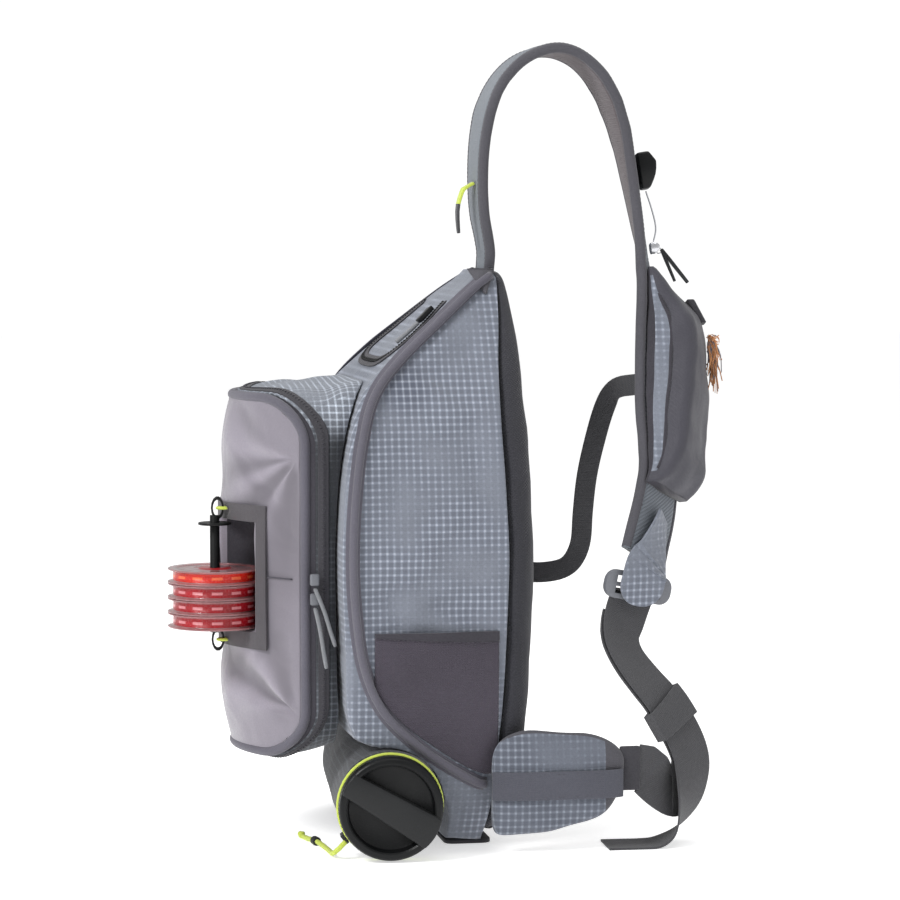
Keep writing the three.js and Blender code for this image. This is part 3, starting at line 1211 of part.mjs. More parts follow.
piece('rack_patch', rackPatch(), padCloth);
piece('rack_bar', rackBar(), darkPlastic);
piece('rack_loop_upper', rackLoop(BAR_HIGH + BAR_EYE_HEIGHT * 0.37), limeCord);
piece('rack_loop_lower', rackLoop(BAR_LOW - BAR_EYE_HEIGHT * 0.37), limeCord);
piece('rack_washer', rackWasher(), darkPlastic);
for (let i = 0; i < SPOOL_COUNT; i += 1) {
  piece(`spool_${i + 1}`, spool(i), redPlastic);
}

piece('bottle_sleeve', bottleSleeve(), gridCloth);
piece('drawcord_ring', drawcordRing(), limeCord);
piece('drawcord_tab', drawcordTab(), padCloth);
piece('drawcord_tail', drawcordTail(), limeCord);
piece('drawcord_stop', drawcordStop(), darkPlastic);
piece('bottle_body', bottleBody(), darkPlastic);
piece('bottle_cap', bottleCap(), darkPlastic);

piece('hip_wing', hipWing(), gridCloth);
piece('wing_band', wingBand(), webbingCloth);
piece('wing_tab', wingTab(), padCloth);

piece('strap_pad', strapPad(), strapCloth);
piece('strap_pocket', strapPocket(), gridCloth);
piece('strap_pocket_zipper', strapPocketZipper(), darkPlastic);
piece('strap_tab', strapTab(), gridCloth);
piece('ladder_buckle', ladderBuckle(), darkPlastic);
piece('tail_webbing', tailWebbing(), webbingCloth);
piece('belt_webbing', beltWebbing(), webbingCloth);
piece('webbing_keeper', webbingKeeper(), webbingCloth);
piece('stabiliser_webbing', stabiliserWebbing(), webbingCloth);

piece('strap_loop_tab', strapLoopTab(), limeCord);
piece('retractor', retractor(), darkPlastic);
piece('retractor_wire', retractorWire(), steelWire);
piece('tool_clip', toolClip(), steelWire);
piece('nipper', nipper(), steelWire);
piece('fly_box', flyBox(), padCloth);
piece('fly', fly(), flyFibre);

export default bag;
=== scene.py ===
"""Sling bag with a spool rack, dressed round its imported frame. Lengths in the tables are millimetres."""

import math
import random

import bmesh
import bpy
from mathutils import Matrix, Vector, noise


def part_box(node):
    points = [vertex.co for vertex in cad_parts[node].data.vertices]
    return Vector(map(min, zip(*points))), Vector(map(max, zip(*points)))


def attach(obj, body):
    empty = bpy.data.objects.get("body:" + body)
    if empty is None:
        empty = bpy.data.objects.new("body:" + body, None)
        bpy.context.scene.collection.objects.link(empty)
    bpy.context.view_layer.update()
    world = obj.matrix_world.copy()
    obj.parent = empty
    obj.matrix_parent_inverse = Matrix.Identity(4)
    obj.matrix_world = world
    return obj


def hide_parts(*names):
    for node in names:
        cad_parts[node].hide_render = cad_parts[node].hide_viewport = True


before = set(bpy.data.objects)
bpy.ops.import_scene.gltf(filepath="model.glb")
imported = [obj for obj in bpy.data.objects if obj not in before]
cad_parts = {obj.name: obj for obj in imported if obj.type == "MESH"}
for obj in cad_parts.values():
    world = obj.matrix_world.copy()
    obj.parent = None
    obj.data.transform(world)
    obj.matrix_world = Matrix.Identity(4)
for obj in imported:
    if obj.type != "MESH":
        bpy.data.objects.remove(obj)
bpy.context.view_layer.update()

MM = 0.001
X, Y, Z = Vector((1, 0, 0)), Vector((0, 1, 0)), Vector((0, 0, 1))


# Shape tools


def mix(a, b, t):
    return a + (b - a) * t


def clamp(value, low, high):
    return min(max(value, low), high)


def bell(value):
    return math.exp(-value * value)


def column(rows, place, key):
    """Smooth curve through one column of a table, which never swings past its rows."""
    xs = [row[place] for row in rows]
    ys = [row[key] for row in rows]
    last = len(xs) - 1
    slopes = [(ys[i + 1] - ys[i]) / (xs[i + 1] - xs[i]) for i in range(last)]
    tangents = [slopes[0]]
    for before, after in zip(slopes, slopes[1:]):
        tangents.append(0.0 if before * after <= 0 else 2 * before * after / (before + after))
    tangents.append(slopes[-1])

    def value(at):
        t = clamp(at, xs[0], xs[-1])
        i = 0
        while i < last - 1 and t > xs[i + 1]:
            i += 1
        span = xs[i + 1] - xs[i]
        s = (t - xs[i]) / span
        rise = s * s * (3 - 2 * s)
        lead = s * (1 - s) ** 2 * span * tangents[i]
        trail = s * s * (s - 1) * span * tangents[i + 1]
        return mix(ys[i], ys[i + 1], rise) + lead + trail

    return value


def curve_through(points, count, closed=False):
    """Evenly spread points on a smooth curve through the given ones."""
    n = len(points)

    def at(k):
        return points[k % n] if closed else points[int(clamp(k, 0, n - 1))]

    dense = []
    for i in range(n if closed else n - 1):
        a, b, c, d = at(i - 1), at(i), at(i + 1), at(i + 2)
        for j in range(16):
            t = j / 16
            dense.append(0.5 * (2 * b + (c - a) * t + (2 * a - 5 * b + 4 * c - d) * t * t
                                + (3 * b - a - 3 * c + d) * t ** 3))
    dense.append(points[0].copy() if closed else points[-1].copy())
    lengths = [0.0]
    for p, q in zip(dense, dense[1:]):
        lengths.append(lengths[-1] + (q - p).length)
    result = []
    k = 0
    for i in range(count):
        target = lengths[-1] * i / (count if closed else count - 1)
        while k < len(dense) - 2 and lengths[k + 1] < target:
            k += 1
        share = (target - lengths[k]) / max(lengths[k + 1] - lengths[k], 1e-9)
        result.append(dense[k].lerp(dense[k + 1], clamp(share, 0, 1)))
    return result


def table(names, rows):
    """Rows of numbers as dictionaries."""
    return [dict(zip(names, row)) for row in rows]


def path_length(points):
    return sum((b - a).length for a, b in zip(points, points[1:]))


def frames_along(points, closed=False, outward=None):
    """Point, tangent, side and outward direction at every point of a path."""
    n = len(points)
    tangents = []
    for i in range(n):
        before = points[(i - 1) % n] if closed else points[max(i - 1, 0)]
        after = points[(i + 1) % n] if closed else points[min(i + 1, n - 1)]
        tangents.append((after - before).normalized())
    result = []
    out = tangents[0].orthogonal()
    for i, (p, t) in enumerate(zip(points, tangents)):
        if outward:
            out = outward(i)
        out = (out - t * out.dot(t)).normalized()
        result.append((p, t, out.cross(t), out))
    return result


def spread(point, across, along, wrap=False, layer=None):
    """A mesh over point(u, v) for u and v from 0 to 1; wrap joins its two sides."""
    bm = bmesh.new()
    bmesh.ops.create_grid(bm, x_segments=across, y_segments=along, size=0.5)
    run = bm.verts.layers.float_vector.new("run") if layer else None
    for vert in bm.verts:
        u, v = vert.co.x + 0.5, vert.co.y + 0.5
        vert.co = point(u, v) * MM
        if run:
            vert[run] = layer(u, v) * MM
    if wrap:
        bmesh.ops.remove_doubles(bm, verts=bm.verts, dist=1e-6)
    return bm


def added(name, data):
    """A new object in the scene."""
    obj = bpy.data.objects.new(name, data)
    bpy.context.scene.collection.objects.link(obj)
    return obj


def mesh_from(bm, name):
    """The mesh data of a finished bmesh, which is freed."""
    mesh = bpy.data.meshes.new(name)
    bm.to_mesh(mesh)
    bm.free()
    return mesh


def painted(bm, choose):
    """Gives each face the material index that choose(face, centre in millimetres) returns."""
    for face in bm.faces:
        face.material_index = choose(face, face.calc_center_median() / MM)
    return bm


def circle(centre, radius, count):
    """Points round a circle that faces along Y."""
    angles = [2 * math.pi * i / count for i in range(count)]
    return [centre + Vector((math.cos(a), 0, math.sin(a))) * radius for a in angles]


def close_ends(bm):
    edges = [e for e in bm.edges if e.is_boundary]
    bmesh.ops.holes_fill(bm, edges=edges, sides=0)
    return bm


def tube(points, radius, sides=12, closed=False, twist=0.0, ribs=0.0):
    """A round cord along a path; twist and ribs lay strands on its surface."""
    stations = frames_along(points, closed)
    if closed:
        stations = stations + [stations[0]]
    last = len(stations) - 1
    total = path_length(points)

    def point(u, v):
        p, t, w, n = stations[round(v * last)]
        angle = 2 * math.pi * u
        r = radius * (1 + ribs * math.cos(3 * (angle + twist * total * v)))
        return p + (w * math.cos(angle) + n * math.sin(angle)) * r

    bm = spread(point, sides, last, wrap=True,
                layer=lambda u, v: Vector((u * 2 * math.pi * radius, v * total, 0)))
    return bm if closed else close_ends(bm)


def merged(node):
    """A copy of a CAD node's mesh with its doubles merged and its flat triangles joined."""
    bm = bmesh.new()
    bm.from_mesh(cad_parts[node].data)
    bmesh.ops.remove_doubles(bm, verts=bm.verts, dist=1e-6)
    bmesh.ops.join_triangles(
        bm, faces=bm.faces, angle_face_threshold=math.radians(25), angle_shape_threshold=math.radians(120),
    )
    return bm


def rounded(bm, size, segments=2, angle=35):
    """Bevels the sharp edges of a mesh."""
    sharp = [e for e in bm.edges if e.is_manifold and e.calc_face_angle(0) > math.radians(angle)]
    bmesh.ops.bevel(
        bm, geom=sharp, offset=size * MM, segments=segments, profile=0.5,
        affect="EDGES", material=-1, clamp_overlap=True,
    )
    return bm


def refined(bm, *modifiers):
    """The mesh after modifiers, given as (kind, settings)."""
    mesh = mesh_from(bm, "work")
    obj = added("work", mesh)
    for kind, settings in modifiers:
        modifier = obj.modifiers.new(kind.lower(), kind)
        for key, value in settings.items():
            setattr(modifier, key, value)
    bpy.context.view_layer.update()
    ready = obj.evaluated_get(bpy.context.evaluated_depsgraph_get())
    result = bmesh.new()
    result.from_mesh(ready.to_mesh())
    ready.to_mesh_clear()
    bpy.data.objects.remove(obj)
    bpy.data.meshes.remove(mesh)
    return result


def subdivided(bm, levels):
    return refined(bm, ("SUBSURF", {"levels": levels, "render_levels": levels}))


def thickened(bm, thick, offset=-1.0):
    """Gives a sheet its thickness; the front stays where it is unless offset says otherwise."""
    return refined(bm, ("SOLIDIFY", {"thickness": thick * MM, "offset": offset, "use_even_offset": False}))


def ruffled(bm, depth, pitch, seed=0.0, stretch=(1, 1, 1), keep=lambda co: 1.0):
    """Moves each point in along its normal by soft noise: cloth that isn't quite smooth."""
    bm.normal_update()
    moves = []
    for vert in bm.verts:
        co = Vector([c * s for c, s in zip(vert.co, stretch)]) / (pitch * MM) + Vector((seed, seed * 1.7, -seed))
        moves.append(vert.normal * (noise.noise(co) - 0.35) * depth * MM * keep(vert.co / MM))
    for vert, move in zip(bm.verts, moves):
        vert.co += move
    return bm


def joined(*parts):
    """Several meshes as one; each part is (mesh, material index or None to keep its own)."""
    result = bmesh.new()
    for part, index in parts:
        if index is not None:
            for face in part.faces:
                face.material_index = index
        mesh = mesh_from(part, "part")
        result.from_mesh(mesh)
        bpy.data.meshes.remove(mesh)
    return result


def faced(bm, towards):
    """Turns an open sheet so that most of it faces one way."""
    bmesh.ops.recalc_face_normals(bm, faces=bm.faces)
    total = Vector()
    for face in bm.faces:
        total += face.normal * face.calc_area()
    if total.dot(towards) < 0:
        bmesh.ops.reverse_faces(bm, faces=bm.faces)
    return bm


def piece(name, bm, materials, stands_for=(), body="bag", sharp=None):
    """Makes a mesh into a piece of the object."""
    bmesh.ops.recalc_face_normals(bm, faces=bm.faces)
    for face in bm.faces:
        face.smooth = True
    mesh = mesh_from(bm, name)
    if sharp:
        mesh.set_sharp_from_angle(angle=math.radians(sharp))
    for material in materials:
        mesh.materials.append(material)
    obj = added(name, mesh)
    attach(obj, body)
    if stands_for:
        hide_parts(*stands_for)
    return obj


def beads(stations, sizes, lift=0.0):
    """Small ellipsoids at stations of a path; sizes run along it, across it and outward."""
    bm = bmesh.new()
    scale = Matrix.Diagonal([size * MM for size in sizes] + [1])
    for p, t, w, n in stations:
        turn = Matrix((t, w, n)).transposed().to_4x4()
        place = Matrix.Translation((p + n * lift) * MM) @ turn @ scale
        bmesh.ops.create_icosphere(bm, subdivisions=1, radius=0.5, matrix=place)
    return bm


def spaced(points, ups, count):
    """Evenly spread stations along a path whose outward directions are given."""
    out = curve_through(ups, count)
    return frames_along(curve_through(points, count), outward=lambda i: out[i])


STITCH_PITCH, STITCH_SIZES, STITCH_SINK = 3.4, (2.3, 0.5, 0.35), 0.05


def stitch_run(points, normals):
    """A row of thread stitches along a path, each lying on the cloth."""
    count = max(int(path_length(points) / STITCH_PITCH), 2)
    return beads(spaced(points, normals, count), STITCH_SIZES, -STITCH_SINK)


def turned(profile, place, centre, axis, steps):
    """A turned shape; profile is (radius, along) round its section and place puts such a point in space."""
    bm = bmesh.new()
    verts = [bm.verts.new(place(r, along) * MM) for r, along in profile]
    edges = [bm.edges.new(pair) for pair in zip(verts, verts[1:] + verts[:1])]
    bmesh.ops.spin(bm, geom=verts + edges, cent=centre * MM, axis=axis, dvec=(0, 0, 0), angle=2 * math.pi,
                   steps=steps, use_merge=True, use_duplicate=False)
    bmesh.ops.remove_doubles(bm, verts=bm.verts, dist=1e-6)
    bmesh.ops.recalc_face_normals(bm, faces=bm.faces)
    return bm


def dressed(name, node, material, bevel=(), levels=0, sharp=None):
    """A piece that is a CAD node with rounded edges, or a smoother one."""
    bm = merged(node)
    if bevel:
        rounded(bm, *bevel)
    if levels:
        bm = subdivided(bm, levels)
    return piece(name, bm, [material], [node], sharp=sharp)


TOOTH_PITCH, TOOTH_SIZES = 2.6, (1.5, 4.2, 1.5)


def zip_band(places, width, lift):
    """Zip tape along places, with a raised coil down its middle."""
    points = [p for p, n in places]
    stations = frames_along(points, outward=lambda i: places[i][1])
    last = len(stations) - 1

    def tape(u, v):
        p, t, w, n = stations[round(v * last)]
        across = mix(-width / 2, width / 2, u)
        return p + w * across + n * (lift + 0.5 * bell(across / 1.6))

    sheet = thickened(faced(spread(tape, 10, last), places[len(places) // 2][1]), 0.9)
    count = int(path_length(points) / TOOTH_PITCH)
    return sheet, beads(spaced(points, [n for p, n in places], count), TOOTH_SIZES, lift + 0.5)


# Materials


def srgb(*rgb):
    shares = [c / 255 for c in rgb]
    return tuple(c / 12.92 if c <= 0.04045 else ((c + 0.055) / 1.055) ** 2.4 for c in shares) + (1.0,)


def tinted(colour, share):
    return tuple(clamp(c * share, 0, 1) for c in colour[:3]) + (1.0,)


class Net:
    """Adds nodes to a tree and links them."""

    def __init__(self, tree):
        self.tree = tree

    def add(self, kind, inputs=None, **settings):
        node = self.tree.nodes.new("ShaderNode" + kind)
        for key, value in settings.items():
            setattr(node, key, value)
        return self.fill(node, inputs or {})

    def fill(self, node, inputs):
        """Sets or links inputs of a node."""
        for key, value in inputs.items():
            if isinstance(value, bpy.types.NodeSocket):
                self.tree.links.new(value, node.inputs[key])
            else:
                node.inputs[key].default_value = value
        return node

    def use(self, tree, **inputs):
        return self.add("Group", inputs, node_tree=tree).outputs

    def math(self, operation, a, b=0.0):
        return self.add("Math", {0: a, 1: b}, operation=operation).outputs[0]

    def times(self, a, b):
        return self.math("MULTIPLY", a, b)

    def plus(self, a, b):
        return self.math("ADD", a, b)

    def scaled(self, vector, gain):
        return self.add("VectorMath", {0: vector, 3: gain}, operation="SCALE").outputs[0]

    def split(self, vector):
        return self.add("SeparateXYZ", {0: vector}).outputs

    def run(self):
        """What the mesh keeps for its cloth at each point."""
        return self.split(self.add("Attribute", attribute_name="run").outputs["Vector"])

    def cloud(self, place, scale, detail, distortion=0.0):
        return self.add("TexNoise", {
            "Vector": place, "Scale": scale, "Detail": detail, "Distortion": distortion,
        }).outputs[0]

    def blend(self, factor, a, b):
        return self.add("Mix", {0: factor, 6: a, 7: b}, data_type="RGBA").outputs[2]

    def number(self, factor, a, b):
        return self.add("Mix", {0: factor, 2: a, 3: b}, data_type="FLOAT").outputs[0]

    def between(self, value, low, high, to_low=0.0, to_high=1.0):
        return self.add("MapRange", {
            "Value": value, "From Min": low, "From Max": high, "To Min": to_low, "To Max": to_high,
        }, interpolation_type="SMOOTHSTEP").outputs[0]


def group(name, inputs, outputs):
    """A node group with named sockets: its tree, its net, what it is given and its output node."""
    tree = bpy.data.node_groups.new(name, "ShaderNodeTree")
    for label, kind, default in inputs:
        socket = tree.interface.new_socket(label, in_out="INPUT", socket_type="NodeSocket" + kind)
        if default is not None:
            socket.default_value = default
    for label in outputs:
        tree.interface.new_socket(label, in_out="OUTPUT", socket_type="NodeSocketFloat")
    return tree, Net(tree), tree.nodes.new("NodeGroupInput").outputs, tree.nodes.new("NodeGroupOutput")


def build_ripstop():
    """Heavy threads that cross in a square grid, laid on whichever way the cloth faces."""
    tree, net, given, out = group(
        "ripstop_threads",
        [("Place", "Vector", None), ("Facing", "Vector", None), ("Pitch", "Float", 0.0056), ("Width", "Float", 0.3)],
        ["Threads", "Crossings"],
    )
    place = net.split(given["Place"])
    facing = net.split(net.add("VectorMath", {0: given["Facing"]}, operation="ABSOLUTE").outputs[0])
    level = net.math("GREATER_THAN", facing[2], 0.72)
    sideways = net.math("GREATER_THAN", facing[0], facing[1])
    u = net.number(net.math("MAXIMUM", level, sideways), place[0], place[1])
    v = net.number(level, place[2], place[0])
    masks = []
    for value in (u, v):
        cell = net.math("DIVIDE", value, given["Pitch"])
        gap = net.times(net.math("PINGPONG", cell, 0.5), 2.0)
        masks.append(net.between(gap, 0.0, given["Width"], 1.0, 0.0))
    net.fill(out, {"Threads": net.math("MAXIMUM", *masks), "Crossings": net.times(*masks)})
    return tree


def build_weave():
    """Fine over-and-under of plain cloth, from -1 to 1."""
    tree, net, given, out = group("fine_weave", [("Place", "Vector", None), ("Pitch", "Float", 0.0012)], ["Height"])
    scaled = net.scaled(given["Place"], net.math("DIVIDE", 2 * math.pi, given["Pitch"]))
    wave = net.split(net.add("VectorMath", {0: scaled}, operation="SINE").outputs[0])
    net.fill(out, {"Height": net.plus(net.times(wave[0], wave[2]), net.times(wave[1], wave[2]))})
    return tree


def build_drift():
    """Slow change over the cloth and fine specks, from 0 to 1."""
    tree, net, given, out = group(
        "colour_drift", [("Place", "Vector", None), ("Scale", "Float", 14.0)], ["Broad", "Speck"],
    )
    broad = net.cloud(given["Place"], given["Scale"], 3.0)
    fine = net.cloud(given["Place"], 900.0, 1.0)
    net.fill(out, {"Broad": net.between(broad, 0.3, 0.7), "Speck": net.between(fine, 0.35, 0.65)})
    return tree


RIPSTOP = build_ripstop()
WEAVE = build_weave()
DRIFT = build_drift()


def start_material(name):
    """A new material, its net, its shader and the places on the mesh."""
    material = bpy.data.materials.new(name)
    material.use_nodes = True
    net = Net(material.node_tree)
    return material, net, material.node_tree.nodes["Principled BSDF"], net.add("TexCoord").outputs


def cloth(name, colour, pitch=1.3, relief=0.12, drift=0.07, rough=0.82, sheen=0.2, grid=None, soft=0.0,
          stripes=None, painted_light_by_height=None, dots=None, fold_shade=None):
    """Woven cloth.

    grid is (pitch, width, thread colour, crossing colour, cell colour); stripes is (pitch, lean);
    painted_light_by_height is (low end, low start, low gain, high start, high end, high gain) of paler cloth down low
    and up high, painted light on the ends of a part whose darker middle is painted shade;
    dots is (centre, reach, colour) of a place where the cells of the grid are dark;
    fold_shade is the depth of fold, kept with the mesh, at which the cloth is darkest: painted shade in the folds,
    with a painted highlight on the ridges.
    """
    material, net, shader, place = start_material(name)
    where = place["Object"]
    drifts = net.use(DRIFT, Place=where, Scale=14.0)
    speck = drifts["Speck"]
    base = net.blend(drifts["Broad"], tinted(colour, 1 - drift), tinted(colour, 1 + drift))
    height = net.times(net.use(WEAVE, Place=where, Pitch=pitch * MM)[0], relief * MM * 0.5)
    if grid:
        step, width, thread, crossing, cell = grid
        laid = net.use(RIPSTOP, Place=where, Facing=place["Normal"], Pitch=step * MM, Width=width)
        threads = laid["Threads"]
        patchy = net.cloud(where, 17.0, 1.5)
        strength = net.between(patchy, 0.38, 0.6, 0.15, 1.0)
        base = net.blend(net.times(strength, 0.75), base, cell)
        base = net.blend(net.times(threads, strength), base, thread)
        base = net.blend(net.times(laid["Crossings"], strength), base, crossing)
        height = net.plus(height, net.times(threads, 0.22 * MM))
        if dots:
            centre, reach, dark = dots
            away = net.add("VectorMath", {0: where, 1: [c * MM for c in centre]}, operation="DISTANCE")
            uneven = net.plus(away.outputs["Value"], net.times(patchy, 0.02))
            near = net.between(uneven, 0.6 * reach * MM, reach * MM, 0.85, 0.0)
            base = net.blend(net.times(near, net.math("SUBTRACT", 1.0, threads)), base, dark)
        # Painted light: the cloth is made paler towards its low and high ends, where the lamps reach it.
        if painted_light_by_height:
            low_end, low_start, low_gain, high_start, high_end, high_gain = painted_light_by_height
            level = net.plus(net.split(where)[2], net.times(patchy, 0.05))
            low = net.between(level, low_end * MM, low_start * MM, low_gain, 0.0)
            high = net.between(level, high_start * MM, high_end * MM, 0.0, high_gain)
            base = net.scaled(base, net.plus(net.plus(low, high), 1.0))
    # Painted shade: the cloth is darkened where its folds lie deep and painted lighter on their ridges.
    if fold_shade:
        base = net.scaled(base, net.between(net.run()[0], -fold_shade * MM, fold_shade * MM, 1.18, 0.58))
    if stripes:
        step, lean = stripes
        run = net.run()
        slant = net.plus(run[1], net.times(run[0], lean))
        rib = net.math("SINE", net.times(slant, 2 * math.pi / (step * MM)))
        base = net.blend(net.between(rib, -1.0, 1.0, 0.0, 0.75), base, tinted(colour, 0.66))
        height = net.plus(height, net.times(rib, 0.18 * MM))
    if soft:
        height = net.plus(height, net.times(net.cloud(where, 26.0, 2.0, 0.6), soft * MM))
    net.fill(shader, {
        "Base Color": net.blend(net.times(speck, 0.16), base, tinted(colour, 0.6)),
        "Roughness": net.between(speck, 0.0, 1.0, rough - 0.07, min(rough + 0.07, 1)),
        "Sheen Weight": sheen, "Sheen Roughness": 0.5, "Specular IOR Level": 0.3,
        "Normal": net.add("Bump", {"Height": height, "Distance": 1.0, "Strength": 0.9}).outputs[0],
    })
    return material


def hard(name, colour, rough=0.4, metal=0.0, coat=0.0, through=0.0, shine=0.5):
    """Moulded plastic or metal, with a fine grain and rubbed places."""
    material, net, shader, place = start_material(name)
    drifts = net.use(DRIFT, Place=place["Object"], Scale=30.0)
    broad, speck = drifts["Broad"], drifts["Speck"]
    base = net.blend(broad, tinted(colour, 0.9), tinted(colour, 1.12))
    net.fill(shader, {
        "Base Color": net.blend(net.times(speck, 0.15), base, tinted(colour, 1.5)),
        "Roughness": net.between(broad, 0.0, 1.0, rough - 0.06, rough + 0.08),
        "Metallic": metal, "Coat Weight": coat, "Specular IOR Level": shine, "Transmission Weight": through,
        "Normal": net.add("Bump", {"Height": speck, "Distance": 0.06 * MM, "Strength": 0.5}).outputs[0],
    })
    return material


def banded(name, colour, mark, centre, step, low, high):
    """Wound band of a spool: short pale dashes round it between two heights, on fine turns of line."""
    material, net, shader, place = start_material(name)
    moved = net.add("Mapping", {"Vector": place["Object"], "Location": -centre * MM})
    split = net.split(moved.outputs[0])
    angle = net.math("ARCTAN2", split[1], split[0])
    turn = net.math("FRACT", net.math("DIVIDE", angle, step))
    dash = net.times(net.math("GREATER_THAN", turn, 0.36), net.math("LESS_THAN", turn, 0.9))
    tall = net.times(net.math("GREATER_THAN", split[2], low * MM), net.math("LESS_THAN", split[2], high * MM))
    drifts = net.use(DRIFT, Place=place["Object"], Scale=40.0)
    base = net.blend(drifts["Broad"], tinted(colour, 0.85), tinted(colour, 1.15))
    turns = net.times(net.math("SINE", net.times(split[2], 2 * math.pi / (0.5 * MM))), 0.04 * MM)
    net.fill(shader, {
        "Base Color": net.blend(net.times(dash, tall), base, mark),
        "Roughness": net.between(drifts["Speck"], 0.0, 1.0, 0.16, 0.3),
        "Normal": net.add("Bump", {"Height": turns, "Distance": 1.0, "Strength": 0.8}).outputs[0],
    })
    return material


GRID = (5.4, 0.62, srgb(126, 132, 145), srgb(176, 182, 196), srgb(92, 97, 109))
DARK_GRID = (5.2, 0.5, srgb(66, 69, 74), srgb(84, 88, 94), srgb(38, 40, 44))
grid_cloth = cloth("grid_cloth", srgb(120, 125, 136), grid=GRID, soft=2.6, rough=0.7, sheen=0.25,
                   dots=((-52, -112, 366), 44, srgb(74, 79, 94)))
dark_grid_cloth = cloth("dark_grid_cloth", srgb(54, 56, 60), grid=DARK_GRID, soft=1.0)
# Painted shade: the pocket's sides get a dark colour for the shade they lie in, with painted light on their top and
# bottom.
shaded_gusset_cloth = cloth("shaded_gusset_cloth", srgb(50, 52, 56), grid=DARK_GRID, soft=1.4,
                     painted_light_by_height=(110, 190, 1.5, 338, 372, 6.0))
lid_cloth = cloth("lid_cloth", srgb(135, 130, 140), pitch=0.9, relief=0.06, rough=0.42, sheen=0.3, soft=3.2,
                  drift=0.05, fold_shade=2.6)
binding_cloth = cloth("binding_cloth", srgb(90, 88, 98), pitch=1.6, relief=0.14, rough=0.75)
seam_and_shade_cloth = cloth("seam_and_shade_cloth", srgb(56, 54, 61), pitch=1.2, relief=0.1)
pad_cloth = cloth("pad_cloth", srgb(47, 47, 53), pitch=2.4, relief=0.35, drift=0.1, soft=0.8)
air_cloth = cloth("air_cloth", srgb(78, 68, 72), pitch=2.2, relief=0.3, drift=0.08)
mesh_cloth = cloth("mesh_cloth", srgb(67, 62, 72), pitch=1.9, relief=0.3, drift=0.1, soft=0.8)
strap_cloth = cloth("strap_cloth", srgb(118, 124, 132), pitch=1.4, relief=0.1, stripes=(4.2, 1.0))
strap_binding = cloth("strap_binding", srgb(78, 77, 83), pitch=1.6, relief=0.15)
webbing_cloth = cloth("webbing_cloth", srgb(70, 70, 73), pitch=1.5, relief=0.22, drift=0.05)
wing_cloth = cloth("wing_cloth", srgb(104, 109, 120), soft=2.4, rough=0.7, sheen=0.25, grid=(
    5.4, 0.62, srgb(108, 114, 126), srgb(150, 156, 168), srgb(78, 82, 93)))
patch_cloth = cloth("patch_cloth", srgb(76, 73, 77), pitch=1.4, relief=0.15)
pouch_cloth = cloth("pouch_cloth", srgb(66, 65, 73), pitch=1.4, relief=0.12, soft=1.6, rough=0.6)
wing_band_cloth = cloth("wing_band_cloth", srgb(78, 79, 88), pitch=1.4, relief=0.15)
black_tape = cloth("black_tape", srgb(58, 57, 62), pitch=1.2, relief=0.15)
grey_cord = cloth("grey_cord", srgb(128, 130, 134), pitch=1.1, relief=0.25)
lime_cord = cloth("lime_cord", srgb(203, 218, 92), pitch=1.2, relief=0.25, drift=0.05)
fly_fibre = cloth("fly_fibre", srgb(196, 138, 92), pitch=0.8, relief=0.1, drift=0.3)
black_plastic = hard("black_plastic", srgb(17, 18, 19), rough=0.36, shine=0.22)
grip_plastic = hard("grip_plastic", srgb(34, 35, 36), rough=0.46, shine=0.25)
grey_plastic = hard("grey_plastic", srgb(104, 106, 112), rough=0.45)
pale_rim = hard("pale_rim", srgb(206, 150, 152), rough=0.16, coat=0.6, through=0.6)
red_plastic = hard("red_plastic", srgb(158, 26, 32), rough=0.32, coat=0.3)
dark_steel = hard("dark_steel", srgb(52, 53, 55), rough=0.34, metal=0.85)
bright_steel = hard("bright_steel", srgb(205, 206, 210), rough=0.22, metal=0.9)
thread_dark = cloth("thread_dark", srgb(70, 68, 76), pitch=0.6, relief=0.05)


# Camera


CAMERA_TURN, CAMERA_TILT = math.radians(10), math.radians(4)
CAMERA_AIM, CAMERA_AWAY, CAMERA_LENS = Vector((0, 0, 0.302)), 2.5, 125


def set_camera():
    level = Vector((math.sin(CAMERA_TURN), math.cos(CAMERA_TURN), 0)) * math.cos(CAMERA_TILT)
    forward = level - Z * math.sin(CAMERA_TILT)
    data = bpy.data.cameras.new("photo_camera")
    data.lens = CAMERA_LENS
    data.sensor_width = 36
    camera = added("photo_camera", data)
    camera.location = CAMERA_AIM - forward * CAMERA_AWAY
    camera.rotation_euler = forward.to_track_quat("-Z", "Y").to_euler()
    bpy.context.scene.camera = camera


set_camera()


# The drawcord's free tail

TAIL_RADIUS = 2.0
TAIL_ROUTE = [Vector(p) for p in (
    (-103.7, -131.3, 14.2), (-108.0, -130.4, 9.4), (-111.2, -126.4, 5.4), (-112.3, -119.6, 3.2), (-112.2, -111.0, 2.3),
    (-112.6, -101.0, 2.1), (-113.8, -91.0, 2.2), (-115.6, -82.0, 2.9), (-117.8, -74.0, 3.6), (-119.4, -67.5, 3.6),
    (-121.0, -60.0, 2.9), (-122.6, -53.0, 2.2), (-124.4, -46.0, 2.1), (-126.4, -39.3, 2.1),
)]


